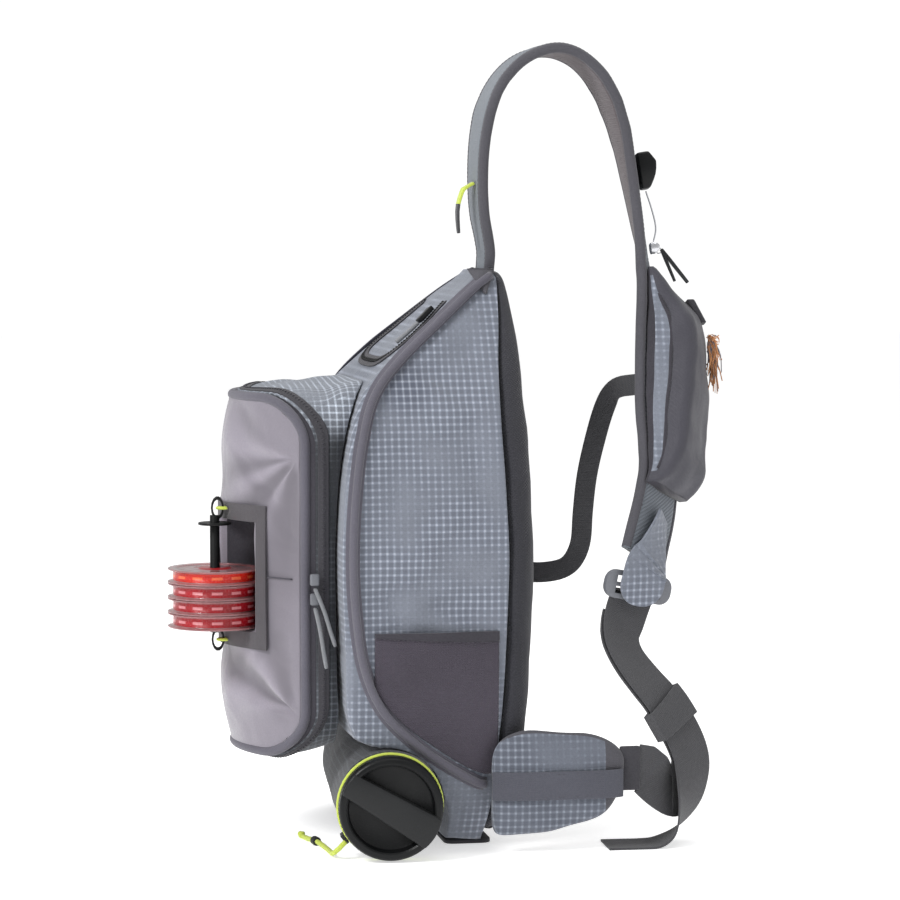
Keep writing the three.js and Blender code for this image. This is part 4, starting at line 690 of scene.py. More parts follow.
def make_drawcord_tail():
    path = curve_through(TAIL_ROUTE, 96)
    tail = piece("drawcord_tail_cord", tube(path, TAIL_RADIUS * 0.97, 12, twist=0.35, ribs=0.05),
                 [lime_cord], ["drawcord_tail"])
    stop_path = curve_through(TAIL_ROUTE[8:10], 8)
    bead = refined(tube(stop_path, 3.5, 16), ("BEVEL", {"width": 0.7 * MM, "segments": 2}))
    stop = piece("drawcord_bead", bead, [grip_plastic], ["drawcord_stop"], sharp=50)
    knot = bmesh.new()
    end = TAIL_ROUTE[-1]
    bmesh.ops.create_uvsphere(knot, u_segments=16, v_segments=10, radius=2.9 * MM)
    for vert in knot.verts:
        swirl = math.sin(3 * math.atan2(vert.co.z, vert.co.x) + vert.co.y / MM)
        vert.co += vert.co.normalized() * swirl * 0.3 * MM
        vert.co += (end + Vector((0.4, -2.2, 1.1))) * MM
    knot_piece = piece("drawcord_knot", knot, [lime_cord])


make_drawcord_tail()


# Main bag. Rows: up, front, back, half, pad as shares of the sizes below.

BAG_HEIGHT, BAG_FRONT, BAG_BACK, BAG_HALF_WIDTH, BACK_PAD = 446, 104, 49, 122, 26
SHELL_LOW = 3.4
RIM_OVERLAP = 1.4
FLANK_BULGE = 4
BAG_ROWS = table(("up", "front", "back", "half", "pad"), (
    (0.008, 0.180, 0.37, 0.69, 0.40), (0.054, 0.200, 0.51, 0.82, 0.55), (0.094, 0.270, 0.63, 0.89, 0.70),
    (0.135, 0.390, 0.73, 0.94, 0.85), (0.170, 0.600, 0.81, 0.97, 0.95), (0.200, 0.930, 0.85, 0.985, 1.0),
    (0.271, 0.985, 0.91, 1.0, 1.0), (0.380, 0.995, 0.96, 1.01, 1.0), (0.509, 1.000, 1.0, 1.01, 1.0),
    (0.612, 0.982, 0.96, 1.0, 1.0), (0.715, 0.925, 0.92, 0.94, 1.0), (0.783, 0.830, 0.90, 0.84, 0.95),
    (0.841, 0.610, 0.88, 0.72, 0.85), (0.897, 0.330, 0.86, 0.60, 0.70), (0.957, 0.050, 0.81, 0.44, 0.50),
    (0.989, -0.120, 0.750, 0.33, 0.35), (1.000, -0.155, 0.65, 0.28, 0.30),
))
# Folds of a flank: out, up, reach, rise, deep, slope.
FLANK_FOLDS = (
    (-0.15, 0.43, 0.42, 0.030, 0.028, 1.0), (-0.62, 0.74, 0.35, 0.060, 0.022, 1.0),
    (-0.20, 0.80, 0.40, 0.035, 0.020, 1.0), (-0.05, 0.62, 0.30, 0.090, -0.018, 1.0),
)
FRONT, BACK, HALF, PAD = (column(BAG_ROWS, "up", key) for key in ("front", "back", "half", "pad"))


def bag_front(z):
    return -BAG_FRONT * FRONT(z / BAG_HEIGHT)


def bag_back(z):
    return BAG_BACK * BACK(z / BAG_HEIGHT)


def bag_half(z):
    return BAG_HALF_WIDTH * HALF(z / BAG_HEIGHT)


def bag_rim(z):
    return bag_back(z) - BACK_PAD * PAD(z / BAG_HEIGHT)


def flank_reach(x, z):
    """Sideways reach of the flank at a place."""
    s = clamp((x - bag_front(z)) / (bag_rim(z) - bag_front(z)), 0, 1)
    fade = 4 * s * (1 - s)
    slim = min(1, bag_half(z) / BAG_HALF_WIDTH)
    dents = 0.0
    for out, up, reach, rise, deep, slope in FLANK_FOLDS:
        du = (x / BAG_FRONT - out) / reach
        dv = (z / BAG_HEIGHT - up + du * rise * slope) / rise
        dents += deep * BAG_HALF_WIDTH * bell(du) * bell(dv)
    return bag_half(z) + fade * (FLANK_BULGE * slim - dents)


def off_flank(x, z, off, side=-1):
    """A point off the flank and its outward direction."""
    base = Vector((x, flank_reach(x, z), z))
    dx = Vector((x + 0.5, flank_reach(x + 0.5, z), z)) - base
    dz = Vector((x, flank_reach(x, z + 0.5), z + 0.5)) - base
    n = dz.cross(dx).normalized()
    p = base + n * off
    return Vector((p.x, side * p.y, p.z)), Vector((n.x, side * n.y, n.z))


SLEEVE_RADIUS, SLEEVE_LENGTH, SLEEVE_MOUTH = 41, 236, 132
BOTTLE_TURN = math.radians(4.9)
MOUTH = Vector((-81 + SLEEVE_MOUTH * math.tan(BOTTLE_TURN), -SLEEVE_MOUTH, SLEEVE_RADIUS))
BOTTLE_LINE = Vector((math.sin(BOTTLE_TURN), math.cos(BOTTLE_TURN), 0))
BOTTLE_ACROSS = Vector((math.cos(BOTTLE_TURN), -math.sin(BOTTLE_TURN), 0))


def clear_of_sleeve(p):
    """Lays a point that would be inside the bottle sleeve on the sleeve."""
    d = p - MOUTH
    run = d.dot(BOTTLE_LINE)
    if not -2 < run < SLEEVE_LENGTH + 2:
        return p
    across, up = d.dot(BOTTLE_ACROSS), d.z
    reach = SLEEVE_RADIUS + 0.6
    if math.hypot(across, up) >= reach:
        return p
    across, up = max(across, 4.0), max(up, 0.0)
    scale = reach / math.hypot(across, up)
    q = MOUTH + BOTTLE_LINE * run + BOTTLE_ACROSS * across * scale
    return Vector((q.x, q.y, max(MOUTH.z + up * scale, SHELL_LOW)))


FRONT_SHARE, CORNER_SHARE, FLANK_SHARE = 0.14, 0.12, 0.60


def shell_point(u, v):
    """Closed outline of the bag at a level, from the middle of its front by the near flank to its back."""
    z = mix(SHELL_LOW, BAG_HEIGHT, v)
    side = -1 if u < 0.5 else 1
    s = 2 * u if u < 0.5 else 2 * (1 - u)
    x0, x1 = bag_front(z), bag_rim(z) + RIM_OVERLAP
    corner = bag_half(z) * (0.07 + 0.12 * max(0, z / BAG_HEIGHT - 0.7) / 0.3)
    edge = flank_reach(x0 + corner, z)
    if s < FRONT_SHARE:
        x, y = x0, (edge - corner) * s / FRONT_SHARE
    elif s < FRONT_SHARE + CORNER_SHARE:
        angle = math.pi / 2 * (s - FRONT_SHARE) / CORNER_SHARE
        x, y = x0 + corner * (1 - math.cos(angle)), edge - corner * (1 - math.sin(angle))
    elif s < FRONT_SHARE + CORNER_SHARE + FLANK_SHARE:
        x = mix(x0 + corner, x1, (s - FRONT_SHARE - CORNER_SHARE) / FLANK_SHARE)
        y = flank_reach(x, z)
    else:
        x, y = x1, flank_reach(x1, z) * (1 - s) / (1 - FRONT_SHARE - CORNER_SHARE - FLANK_SHARE)
    return clear_of_sleeve(Vector((x, side * y, z)))


PIPING_RADIUS, PIPING_LIFT, FLANGE_HALF_WIDTH = 3.2, 0.9, 5.5
PIPING_ROWS = (
    (0.225, 0.985), (0.055, 0.957), (-0.245, 0.899), (-0.515, 0.845), (-0.735, 0.785), (-0.840, 0.715),
    (-0.905, 0.612), (-0.925, 0.509), (-0.905, 0.415), (-0.850, 0.330), (-0.735, 0.262), (-0.560, 0.213),
    (-0.320, 0.170), (-0.030, 0.128), (0.060, 0.120),
)


def piping_plan(count):
    return curve_through([Vector((out * BAG_FRONT, 0, up * BAG_HEIGHT)) for out, up in PIPING_ROWS], count)


# Where the ruffles of the shell start and how far they take to grow: off its seam, its rim and its top.
SEAM_CALM, RIM_CALM, TOP_CALM = (8, 22), (2, 18), (10, 30)
RUFFLE_HEIGHTS, RUFFLE_SPREAD = (190, 350), 60


def grown(distance, calm):
    return clamp((distance - calm[0]) / calm[1], 0, 1)


def make_shell():
    bm = close_ends(spread(shell_point, 200, 150, wrap=True))
    bmesh.ops.recalc_face_normals(bm, faces=bm.faces)
    seam = piping_plan(44)

    def where(co):
        """Deepest in the middle of a flank and gone at the seams."""
        near = min(math.hypot(co.x - q.x, co.z - q.z) for q in seam)
        free = (grown(near, SEAM_CALM) * grown(bag_rim(co.z) - co.x, RIM_CALM)
                * grown(BAG_HEIGHT - co.z, TOP_CALM))
        return free * (0.5 + 0.5 * sum(bell((co.z - height) / RUFFLE_SPREAD) for height in RUFFLE_HEIGHTS))

    ruffled(bm, 7.5, 52, seed=3.1, stretch=(1.0, 1.0, 0.8), keep=where)
    ruffled(bm, 3.2, 20, seed=8.4, stretch=(0.8, 1.0, 1.3), keep=where)
    piece("main_bag", bm, [grid_cloth], ["main_shell"])


def make_back_panel():
    bm = subdivided(merged("back_panel"), 2)
    ruffled(bm, 1.6, 30, seed=1.3)
    piece("back_pad", bm, [pad_cloth], ["back_panel"])


def make_bag_piping():
    for side, name in ((-1, "near"), (1, "far")):
        line = [off_flank(q.x, q.z, PIPING_RADIUS + PIPING_LIFT, side)[0] for q in piping_plan(120)]
        cord = tube(line, PIPING_RADIUS, 14)
        places = [off_flank(p.x, p.z, 0.1, side) for p in line]
        stations = frames_along([p for p, n in places], outward=lambda i: places[i][1])

        def band(u, v, stations=stations, side=side):
            p, t, w, n = stations[round(v * (len(stations) - 1))]
            across = mix(-FLANGE_HALF_WIDTH, FLANGE_HALF_WIDTH, u)
            return p + w * across + n * (0.35 + 2.2 * bell(across / 3.2))

        flange = thickened(faced(spread(band, 12, 119), -Y if side < 0 else Y), 0.5)
        piece(f"bag_piping_cord_{name}", joined((cord, 0), (flange, 1)), [binding_cloth, binding_cloth],
              [f"bag_piping_{name}"])


MESH_TOP, MESH_LEFT, MESH_RIM_GAP = 0.385, -0.77, 0.05


def make_side_pocket():
    low_edge = column(table(("out", "up"), PIPING_ROWS[8:]), "out", "up")
    top = MESH_TOP * BAG_HEIGHT
    left, right = MESH_LEFT * BAG_FRONT, bag_rim(top) - MESH_RIM_GAP * BAG_FRONT
    hem = 2 * PIPING_RADIUS + PIPING_LIFT

    def point(u, v, off=1.0):
        x = mix(left, right, u)
        low = min(low_edge(x / BAG_FRONT) * BAG_HEIGHT + hem, top - hem)
        z = mix(low, top, v)
        full = 4 * u * (1 - u) * v
        puff = 1.2 * full + 0.9 * math.sin(9 * u + 3 * v) * full
        return off_flank(x, z, off + 0.4 + max(puff, 0))[0]

    panel = thickened(faced(spread(point, 60, 50), -Y), 0.7, offset=0)
    band = thickened(faced(spread(lambda u, v: point(u, mix(0.93, 1.0, v), 1.9), 60, 6), -Y), 1.3, offset=0)
    edge = [point(u / 60, 0.925, 2.7) for u in range(61)]
    ups = [off_flank(p.x, p.z, 0)[1] for p in edge]
    stitches = stitch_run(edge, ups)
    piece("side_mesh", joined((panel, 0), (band, 1), (stitches, 2)),
          [mesh_cloth, seam_and_shade_cloth, thread_dark], ["side_mesh_pocket"])


ZIPPER_HIGH, ZIPPER_LOW, ZIPPER_MARGIN, ZIPPER_WIDTH, ZIPPER_LIFT = 0.965, 0.838, 0.13, 11, 0.6


def zipper_place(share, off):
    """A place on the U of the main zip, on the sloping front, and its outward direction."""
    angle = math.pi * share
    sag = math.sqrt(max(math.sin(angle), 0))
    z = mix(ZIPPER_HIGH, ZIPPER_LOW, sag) * BAG_HEIGHT
    reach = bag_half(z) - ZIPPER_MARGIN * BAG_HALF_WIDTH
    side = -math.copysign(math.sqrt(abs(math.cos(angle))), math.cos(angle)) * reach
    n = Vector((-1.0, 0, -(bag_front(z - 0.5) - bag_front(z + 0.5)))).normalized()
    return Vector((bag_front(z), side, z)) + n * off, n


def make_main_zip():
    places = [zipper_place(mix(0.01, 0.99, i / 160), ZIPPER_LIFT) for i in range(161)]
    tape, coil = zip_band(places, ZIPPER_WIDTH, ZIPPER_LIFT)
    piece("main_zip_tape", joined((tape, 0), (coil, 1)), [black_tape, black_plastic], ["main_zipper"])
    dressed("main_zip_slider", "main_slider", black_plastic, (0.9, 3), sharp=40)
    dressed("main_zip_pull", "main_pull", grey_cord, (0.6,), 1)


make_shell()
make_back_panel()
dressed("sole", "base_panel", black_tape, (0.9,), sharp=40)
make_bag_piping()
make_side_pocket()
make_main_zip()


# Front pocket

POCKET_HALF_WIDTH, POCKET_TOP, POCKET_BOTTOM, POCKET_CORNER = 94, 361, 78, 40
LID_SAG, LID_REACH, LID_SIDE_REACH, LID_PIPING_RADIUS = 9, 184, 126, 3.8
# Folds of the lid: side, up, reach, rise, lean, deep.
LID_FOLDS = (
    (-0.62, 0.62, 0.16, 0.30, 1.2, 0.022), (-0.30, 0.74, 0.22, 0.22, 0.8, -0.012),
    (-0.55, -0.62, 0.16, 0.24, -1.3, 0.022), (-0.20, -0.70, 0.24, 0.20, -0.8, -0.010),
    (0.55, 0.55, 0.20, 0.28, -1.0, 0.018), (0.50, -0.60, 0.20, 0.26, 1.0, 0.018),
)
# Smaller creases that only the cloth shows.
LID_CREASES = (
    (-0.80, 0.34, 0.05, 0.16, 0.9, 0.010), (-0.70, 0.46, 0.06, 0.20, 1.5, 0.009),
    (-0.50, 0.86, 0.10, 0.12, 1.6, 0.007), (-0.72, -0.42, 0.07, 0.16, -1.4, 0.009),
    (-0.40, -0.52, 0.09, 0.16, -1.6, 0.008), (-0.84, -0.78, 0.06, 0.12, 1.0, 0.008),
    (-0.76, 0.02, 0.14, 0.012, 0.0, 0.006), (0.80, 0.30, 0.06, 0.18, -0.9, 0.009),
    (0.74, -0.36, 0.07, 0.16, 1.3, 0.009),
)

# Silky folds that fan from a pinch at the lid's edge: side, height, reach, then (angle, width, deep) of each.
LID_FANS = (
    (-91, 306, 96, ((6, 9, -1.4), (-12, 9, 1.8), (-29, 9, -2.4), (-46, 9, 2.6), (-63, 8, -2.0), (-80, 9, 2.2))),
    (-89, 104, 112, ((12, 9, -1.6), (31, 10, 3.0), (50, 10, -2.4), (68, 9, 1.6))),
    (91, 300, 90, ((4, 9, -1.4), (-16, 9, 2.0), (-36, 9, -2.2), (-58, 9, 2.2))),
    (89, 112, 100, ((16, 9, -1.6), (36, 10, 2.6), (58, 10, -2.0))),
)


def lid_fans(y, z):
    """Depth of the fanned folds at a place."""
    deep = 0.0
    for side, height, reach, folds in LID_FANS:
        away = math.hypot(y - side, z - height)
        towards = math.degrees(math.atan2(z - height, (y - side) * math.copysign(1, -side)))
        strength = clamp(away / 14, 0, 1) * bell(away / reach)
        deep += 1.7 * strength * sum(depth * bell((towards - angle) / (1.7 * width)) for angle, width, depth in folds)
    return deep


def lid_face(y, z, folds=LID_FOLDS):
    """Reach of the lid's outer face, crowned across and drawn in at its top and bottom."""
    across = clamp(y / POCKET_HALF_WIDTH, -1, 1)
    middle = (POCKET_TOP + POCKET_BOTTOM) / 2 - LID_SAG
    up = (z - middle) / ((POCKET_TOP - POCKET_BOTTOM) / 2)
    dents = 0.0
    for side, at, reach, rise, lean, deep in folds:
        du = (across - side - lean * (up - at)) / reach
        dv = (up - at) / rise
        dents += deep * LID_REACH * bell(du) * bell(dv)
    crown = LID_REACH - 9 * min(1, up ** 4) - dents
    return -mix(crown, LID_SIDE_REACH, across * across)


def pocket_outline(s, inset, lower=0.0):
    """A place on the pocket's rounded outline, s from 0 to 1 round it from the right end of its top corner."""
    half = POCKET_HALF_WIDTH - inset
    top, bottom = POCKET_TOP - inset - lower, POCKET_BOTTOM + inset - lower
    r = max(POCKET_CORNER - inset, 4)
    wide, tall, arc = 2 * (half - r), top - bottom - 2 * r, math.pi * r / 2
    d = (s % 1.0) * (2 * wide + 2 * tall + 4 * arc)
    legs = (
        (arc, "arc", (half - r, top - r), 0), (wide, "line", (half - r, top), (-1, 0)),
        (arc, "arc", (-half + r, top - r), 90), (tall, "line", (-half, top - r), (0, -1)),
        (arc, "arc", (-half + r, bottom + r), 180), (wide, "line", (-half + r, bottom), (1, 0)),
        (arc, "arc", (half - r, bottom + r), 270), (tall, "line", (half, bottom + r), (0, 1)),
    )
    for length, kind, (y, z), way in legs:
        if d <= length:
            break
        d -= length
    if kind == "line":
        return y + way[0] * d, z + way[1] * d
    angle = math.radians(way) + d / r
    return y + r * math.cos(angle), z + r * math.sin(angle)


def pocket_seam(z):
    return bag_front(clamp(z, 0.25 * BAG_HEIGHT, POCKET_TOP)) - 1.8


POCKET_MIDDLE, LID_SEAM_HEIGHT = 210, 211.5
LID_INSET = 2 * LID_PIPING_RADIUS + 0.4
LID_EDGE_BACK = 2 + 0.72 * LID_PIPING_RADIUS


def gusset_point(s, share, off=0.0, depth_share=None):
    """A place on the side of the pocket; share is 0 at the bag and 1 at the lid."""
    y0, z0 = pocket_outline(s, 0)
    front = lid_face(y0, z0 - LID_SAG) + LID_EDGE_BACK + 0.4
    back = max(pocket_seam(z0), front + 2)
    if depth_share:
        share = depth_share(back - front)
    puff = 1.6 * math.sin(math.pi * share)
    high = clamp((z0 - 300) / 60, 0, 1)
    waves = 2.6 * math.sin(math.pi * share) * math.sin(0.06 * y0 + 5 * share)
    lump = high * (waves - 1.2 * bell((share - 0.45) / 0.12))
    y, z = pocket_outline(s, -puff - off - lump, LID_SAG * share)
    return Vector((mix(back, front, share), y, z))


RACK_SIDE, RACK_MIDDLE, RACK_STANDOFF, WINDOW_HEIGHT = -26, 209, 12, 86
DISH_RADIUS = 40.2
RACK_X = lid_face(RACK_SIDE, RACK_MIDDLE) - RACK_STANDOFF


LID_TUCK = 2.6


def lid_point(u, v):
    inset = LID_INSET - LID_TUCK
    half = POCKET_HALF_WIDTH - inset
    top, bottom = POCKET_TOP - inset - LID_SAG, POCKET_BOTTOM + inset - LID_SAG
    r = max(POCKET_CORNER - inset, 4)
    y, z = mix(-half, half, u), mix(bottom, top, v)
    dy, dz = abs(y) - (half - r), max(z - (top - r), (bottom + r) - z)
    if dy > 0 and dz > 0 and math.hypot(dy, dz) > r:
        scale = r / math.hypot(dy, dz)
        y = math.copysign(half - r + dy * scale, y)
        z = top - r + dz * scale if z > (top + bottom) / 2 else bottom + r - dz * scale
    edge = clamp((half - abs(y)) / 8, 0, 1) * clamp((min(top - z, z - bottom)) / 8, 0, 1)
    x = lid_face(y, z)
    x = mix(x, lid_face(y, z, LID_FOLDS + LID_CREASES) + lid_fans(y, z), edge)
    low, high = RACK_MIDDLE - WINDOW_HEIGHT / 2, RACK_MIDDLE + WINDOW_HEIGHT / 2
    inside = DISH_RADIUS ** 2 - (y - RACK_SIDE) ** 2
    if inside > 0:
        floor = RACK_X + math.sqrt(inside)
        depth = clamp((z - low) / 1.5, 0, 1) * clamp((high - z) / 1.5, 0, 1)
        x = mix(x, max(x, floor), depth)
    return Vector((x, y, z))


def lid_depth(u, v):
    """How deep the cloth lies in its fans and creases, kept with the mesh for the painted shade in its folds and the
    painted highlight on its ridges.
    """
    y, z = mix(-1, 1, u) * POCKET_HALF_WIDTH, mix(POCKET_BOTTOM, POCKET_TOP, v) - LID_SAG
    return lid_fans(y, z) + lid_face(y, z, LID_FOLDS + LID_CREASES) - lid_face(y, z)


def make_pocket():
    def rim_point(s):
        """The middle of the lid's piping."""
        y, z = pocket_outline(s, LID_PIPING_RADIUS, LID_SAG)
        return Vector((lid_face(y, z) + 2, y, z))

    sides = thickened(faced_out(spread(lambda u, v: gusset_point(u, v), 220, 36, wrap=True)), 1.6)
    lip = faced_out(spread(lambda u, v: rim_point(u).lerp(gusset_point(u, 0.9, -0.8), v), 220, 4, wrap=True))
    piece("pocket_gusset", joined((sides, 0), (thickened(lip, 1.2), 1)), [shaded_gusset_cloth, seam_and_shade_cloth],
          ["pocket_shell"])
    # The lid keeps its fold depth for the painted shade in its folds and the painted highlight on its ridges.
    lid = spread(lid_point, 150, 220, layer=lambda u, v: Vector((lid_depth(u, v), 0, 0)))
    lid = thickened(faced(lid, -X), 1.6)
    # Faces of the dish sunk more than 4 mm behind the lid's face take the dark seam cloth: painted shade in the
    # recess.
    painted(lid, lambda face, at: int(
        at.x > lid_face(at.y, at.z) + 4 and abs(at.z - RACK_MIDDLE) < WINDOW_HEIGHT / 2 + 1))
    piece("pocket_lid_cloth", lid, [lid_cloth, seam_and_shade_cloth], ["pocket_lid"])
    cord = tube([rim_point(i / 240) for i in range(240)], LID_PIPING_RADIUS, 16, closed=True)
    piece("lid_piping", cord, [binding_cloth], ["pocket_piping"])
    dart = [Vector((lid_face(y, LID_SEAM_HEIGHT) - 0.3, y, LID_SEAM_HEIGHT + 0.02 * y)) for y in range(-84, -61, 2)]
    piece("lid_seam", tube(dart, 0.55, 8), [thread_dark])


def faced_out(bm):
    """Turns an open ring round the pocket outwards."""
    bmesh.ops.recalc_face_normals(bm, faces=bm.faces)
    total = 0.0
    for face in bm.faces:
        centre = face.calc_center_median() / MM
        total += face.normal.dot(Vector((0, centre.y, centre.z - POCKET_MIDDLE))) * face.calc_area()
    if total < 0:
        bmesh.ops.reverse_faces(bm, faces=bm.faces)
    return bm


def make_pocket_zip():
    def behind(distance):
        return lambda depth: 1 - min(distance / depth, 0.9)

    def tape(u, v):
        lift = 0.9 + 0.6 * bell((v - 0.5) / 0.2)
        return gusset_point(u, 0, lift, behind(mix(1.5, 10, v)))

    band = thickened(faced_out(spread(tape, 220, 10, wrap=True)), 0.9)
    line = [gusset_point(i / 260, 0, 1.6, behind(5.75)) for i in range(260)]
    centres = curve_through(line, 300, closed=True)
    coil = beads(
        frames_along(centres, closed=True, outward=lambda i: Vector((0, centres[i].y, centres[i].z - POCKET_MIDDLE))),
        (1.3, 3.2, 1.2),
    )
    piece("pocket_zip", joined((band, 0), (coil, 1)), [black_tape, seam_and_shade_cloth], ["pocket_zipper"])
    for name in ("upper", "lower"):
        dressed(f"slider_{name}", f"pocket_slider_{name}", grey_plastic, (1.3, 3), sharp=40)
        dressed(f"pull_{name}", f"pocket_pull_{name}", grey_cord, levels=2)


make_pocket()
make_pocket_zip()


# Spool rack

RACK_PLACE = Vector((RACK_X, RACK_SIDE, 0))
SPOOL_LOW = RACK_MIDDLE - WINDOW_HEIGHT / 2 + 2
SPOOL_STEP = 11.6


SPOOL_PROFILE = (
    (4.4, 0), (12, 0), (13, 0.7), (30, 0.7), (31, 0), (36.6, 0), (37, 0.3), (37, 0.8), (36.6, 1.1), (33.6, 1.5),
    (32.8, 2.2), (32.8, 9.0), (33.6, 9.7), (36.6, 10.1), (37, 10.4), (37, 10.9), (36.6, 11.2), (31, 11.2),
    (30, 10.5), (13, 10.5), (12, 11.2), (4.4, 11.2),
)
BAND_INNER, BAND_LOW, BAND_HIGH, HUB_RADIUS = 31.8, 1.9, 9.3, 12.5
DASH_STEP, DASH_LOW, DASH_HIGH = 0.48, 4.5, 6.6
SPOOL_COLOURS = [(srgb(158, 18, 30), srgb(208, 128, 134))] * 3 + [(srgb(196, 34, 20), srgb(232, 104, 62))]


def make_spools():
    for i, (colour, mark) in enumerate(SPOOL_COLOURS):
        foot = RACK_PLACE + Z * (SPOOL_LOW + i * SPOOL_STEP)

        def part_of(face, at, foot=foot):
            r, height = math.hypot(at.x - foot.x, at.y - foot.y), at.z - foot.z
            if r > BAND_INNER and BAND_LOW < height < BAND_HIGH:
                return 1
            return 2 if r > HUB_RADIUS else 0

        bm = turned(SPOOL_PROFILE, lambda r, z: foot + Vector((r, 0, z)), RACK_PLACE, Z, 64)
        band = banded(f"spool_band_{i + 1}", colour, mark, foot, DASH_STEP, DASH_LOW, DASH_HIGH)
        piece(f"tippet_spool_{i + 1}", painted(bm, part_of), [red_plastic, band, pale_rim],
              [f"spool_{i + 1}"], body=f"spool_{i + 1}_body", sharp=50)


def stretched(bm, factor):
    """Lengthens a mesh along X about its middle."""
    reach = [vert.co.x for vert in bm.verts]
    middle = (min(reach) + max(reach)) / 2
    for vert in bm.verts:
        vert.co.x = middle + (vert.co.x - middle) * factor
    return bm


def make_rack():
    dressed("rack_plate", "rack_patch", patch_cloth, (0.5,), sharp=50)
    dressed("rack_rod", "rack_bar", black_plastic, (0.3, 2, 50), sharp=40)
    dressed("rack_ring", "rack_washer", black_plastic, (0.4,), sharp=40)
    for name in ("upper", "lower"):
        loop = stretched(subdivided(merged(f"rack_loop_{name}"), 2), 1.5)
        piece(f"loop_{name}", loop, [lime_cord], [f"rack_loop_{name}"])


make_rack()
make_spools()


# Bottle and its sleeve


def on_bottle_line(bm):
    """Lays a mesh turned about +Y on the bottle's line."""
    laid = Matrix.Translation(MOUTH * MM) @ Matrix.Rotation(-BOTTLE_TURN, 4, "Z")
    bmesh.ops.transform(bm, verts=bm.verts, matrix=laid)
    return bm


def turned_y(profile):
    return turned(profile, lambda r, y: Vector((r, y, 0)), Vector(), Y, 96)


CORD_RADIUS, CORD_AHEAD = 1.75, 2.1


def make_bottle():
    end, r = SLEEVE_LENGTH, SLEEVE_RADIUS
    outer = [(r, y) for y in range(0, 222, 5)]
    profile = [(r - 2, 2), (r - 1.4, 0.2), (r - 0.4, 0)] + outer[1:] + [
        (r * 0.985, end - 9), (r * 0.93, end - 3), (r * 0.8, end), (r * 0.4, end), (0, end)]
    inner = [(0, end - 2), (r * 0.76, end - 2), (r - 2, end - 14)]
    sleeve = turned_y(profile + inner)
    on_bottle_line(sleeve)
    ruffled(sleeve, 1.3, 22, seed=5.2, stretch=(1, 0.6, 1))
    for vert in sleeve.verts:
        vert.co.z = max(vert.co.z, 0.0)
    piece("sleeve_cloth", sleeve, [dark_grid_cloth], ["bottle_sleeve"])
    ring = circle(-Y * CORD_AHEAD, r - 1.7, 140)
    piece("mouth_cord", on_bottle_line(tube(ring, CORD_RADIUS, 10, closed=True, twist=0.4, ribs=0.06)),
          [lime_cord], ["drawcord_ring"])
    dressed("cord_tab", "drawcord_tab", pad_cloth, (0.6,))
    dressed("bottle", "bottle_body", black_plastic, (0.8,), sharp=40)
    make_cap()


CAP_BACK, CAP_RADIUS, CAP_DEEP, CAP_RIBS, CAP_TURN = -4.2, 39.6, 15, 72, math.radians(31)


def make_cap():
    back, cap = CAP_BACK, CAP_RADIUS
    face = back - CAP_DEEP
    dish = cap * 0.84
    profile = [
        (0, back), (cap - 1, back), (cap, back - 1), (cap, back - 3.2), (cap - 0.7, back - 3.8), (cap, back - 4.4),
        (cap, face + 3.4), (cap - 0.8, face + 1.2), (cap - 2.6, face), (dish + 1.2, face), (dish, face + 1.0),
        (dish - 1.4, face + 8.5), (dish - 3, face + 9.4), (dish * 0.5, face + 9.8), (0, face + 9.8),
    ]
    cup = turned_y(profile)
    grip = bmesh.new()
    low, high, half = face - 3.0, face + 10.5, cap * 0.28
    bmesh.ops.create_cube(grip, size=1.0)
    bmesh.ops.subdivide_edges(grip, edges=grip.edges, cuts=6, use_grid_fill=True)
    for vert in grip.verts:
        x, y, z = vert.co.x * 2, vert.co.y + 0.5, vert.co.z * 2
        wide = half * (1 + 0.16 * x)
        reach = math.sqrt(max((cap * 0.985) ** 2 - (wide * z) ** 2, 0)) * x
        vert.co = Vector((reach, mix(low + 1.8 * (1 - x) * 0.5 + 0.8 * z * z, high, y), wide * z)) * MM
    bmesh.ops.recalc_face_normals(grip, faces=grip.faces)
    rounded(grip, 1.4, 3, 40)
    bmesh.ops.transform(grip, verts=grip.verts, matrix=Matrix.Rotation(CAP_TURN, 4, "Y"))
    ribs = bmesh.new()
    for i in range(CAP_RIBS):
        turn = Matrix.Rotation(2 * math.pi * i / CAP_RIBS, 4, "Y")
        place = turn @ Matrix.Translation(Vector((cap - 0.1, (back + face) / 2 + 0.6, 0)) * MM)
        bmesh.ops.create_cube(ribs, size=1.0, matrix=place @ Matrix.Diagonal((0.7 * MM, 6.5 * MM, 1.1 * MM, 1)))
    piece("screw_cap", on_bottle_line(joined((cup, 0), (grip, 1), (ribs, 0))),
          [black_plastic, grip_plastic], ["bottle_cap"], sharp=38)


make_bottle()


# Hip wing


WING_END = 98


def make_wing():
    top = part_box("hip_wing")[1].z / MM
    bm = ruffled(subdivided(merged("hip_wing"), 3), 2.2, 24, seed=2.2, stretch=(0.8, 1, 1.2))

    def part_of(face, at):
        if at.x > WING_END or (face.normal.z > 0.62 and at.z > top - 14):
            return 1
        return 2 if face.normal.y > 0.5 else 0

    painted(bm, part_of)
    wing = piece("padded_wing", bm, [wing_cloth, strap_binding, air_cloth], ["hip_wing"])
    band = subdivided(rounded(merged("wing_band"), 0.4), 1)
    low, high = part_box("wing_band")
    outer = [vert.co / MM for vert in band.verts if vert.co.y < -1 * MM]
    stitches = []
    for z in (low.z / MM + 2.2, high.z / MM - 2.2):
        level = [q for q in outer if abs(q.z - z) < 14]
        line = [Vector((x, min(level, key=lambda q: abs(q.x - x)).y - 0.3, z)) for x in range(14, 110, 4)]
        stitches.append((stitch_run(line, [-Y] * len(line)), 1))
    piece("wing_strip", joined((band, 0), *stitches), [wing_band_cloth, thread_dark], ["wing_band"])
    piece("wing_end_tab", stretched(rounded(merged("wing_tab"), 1.0), 2.0), [black_tape], ["wing_tab"])


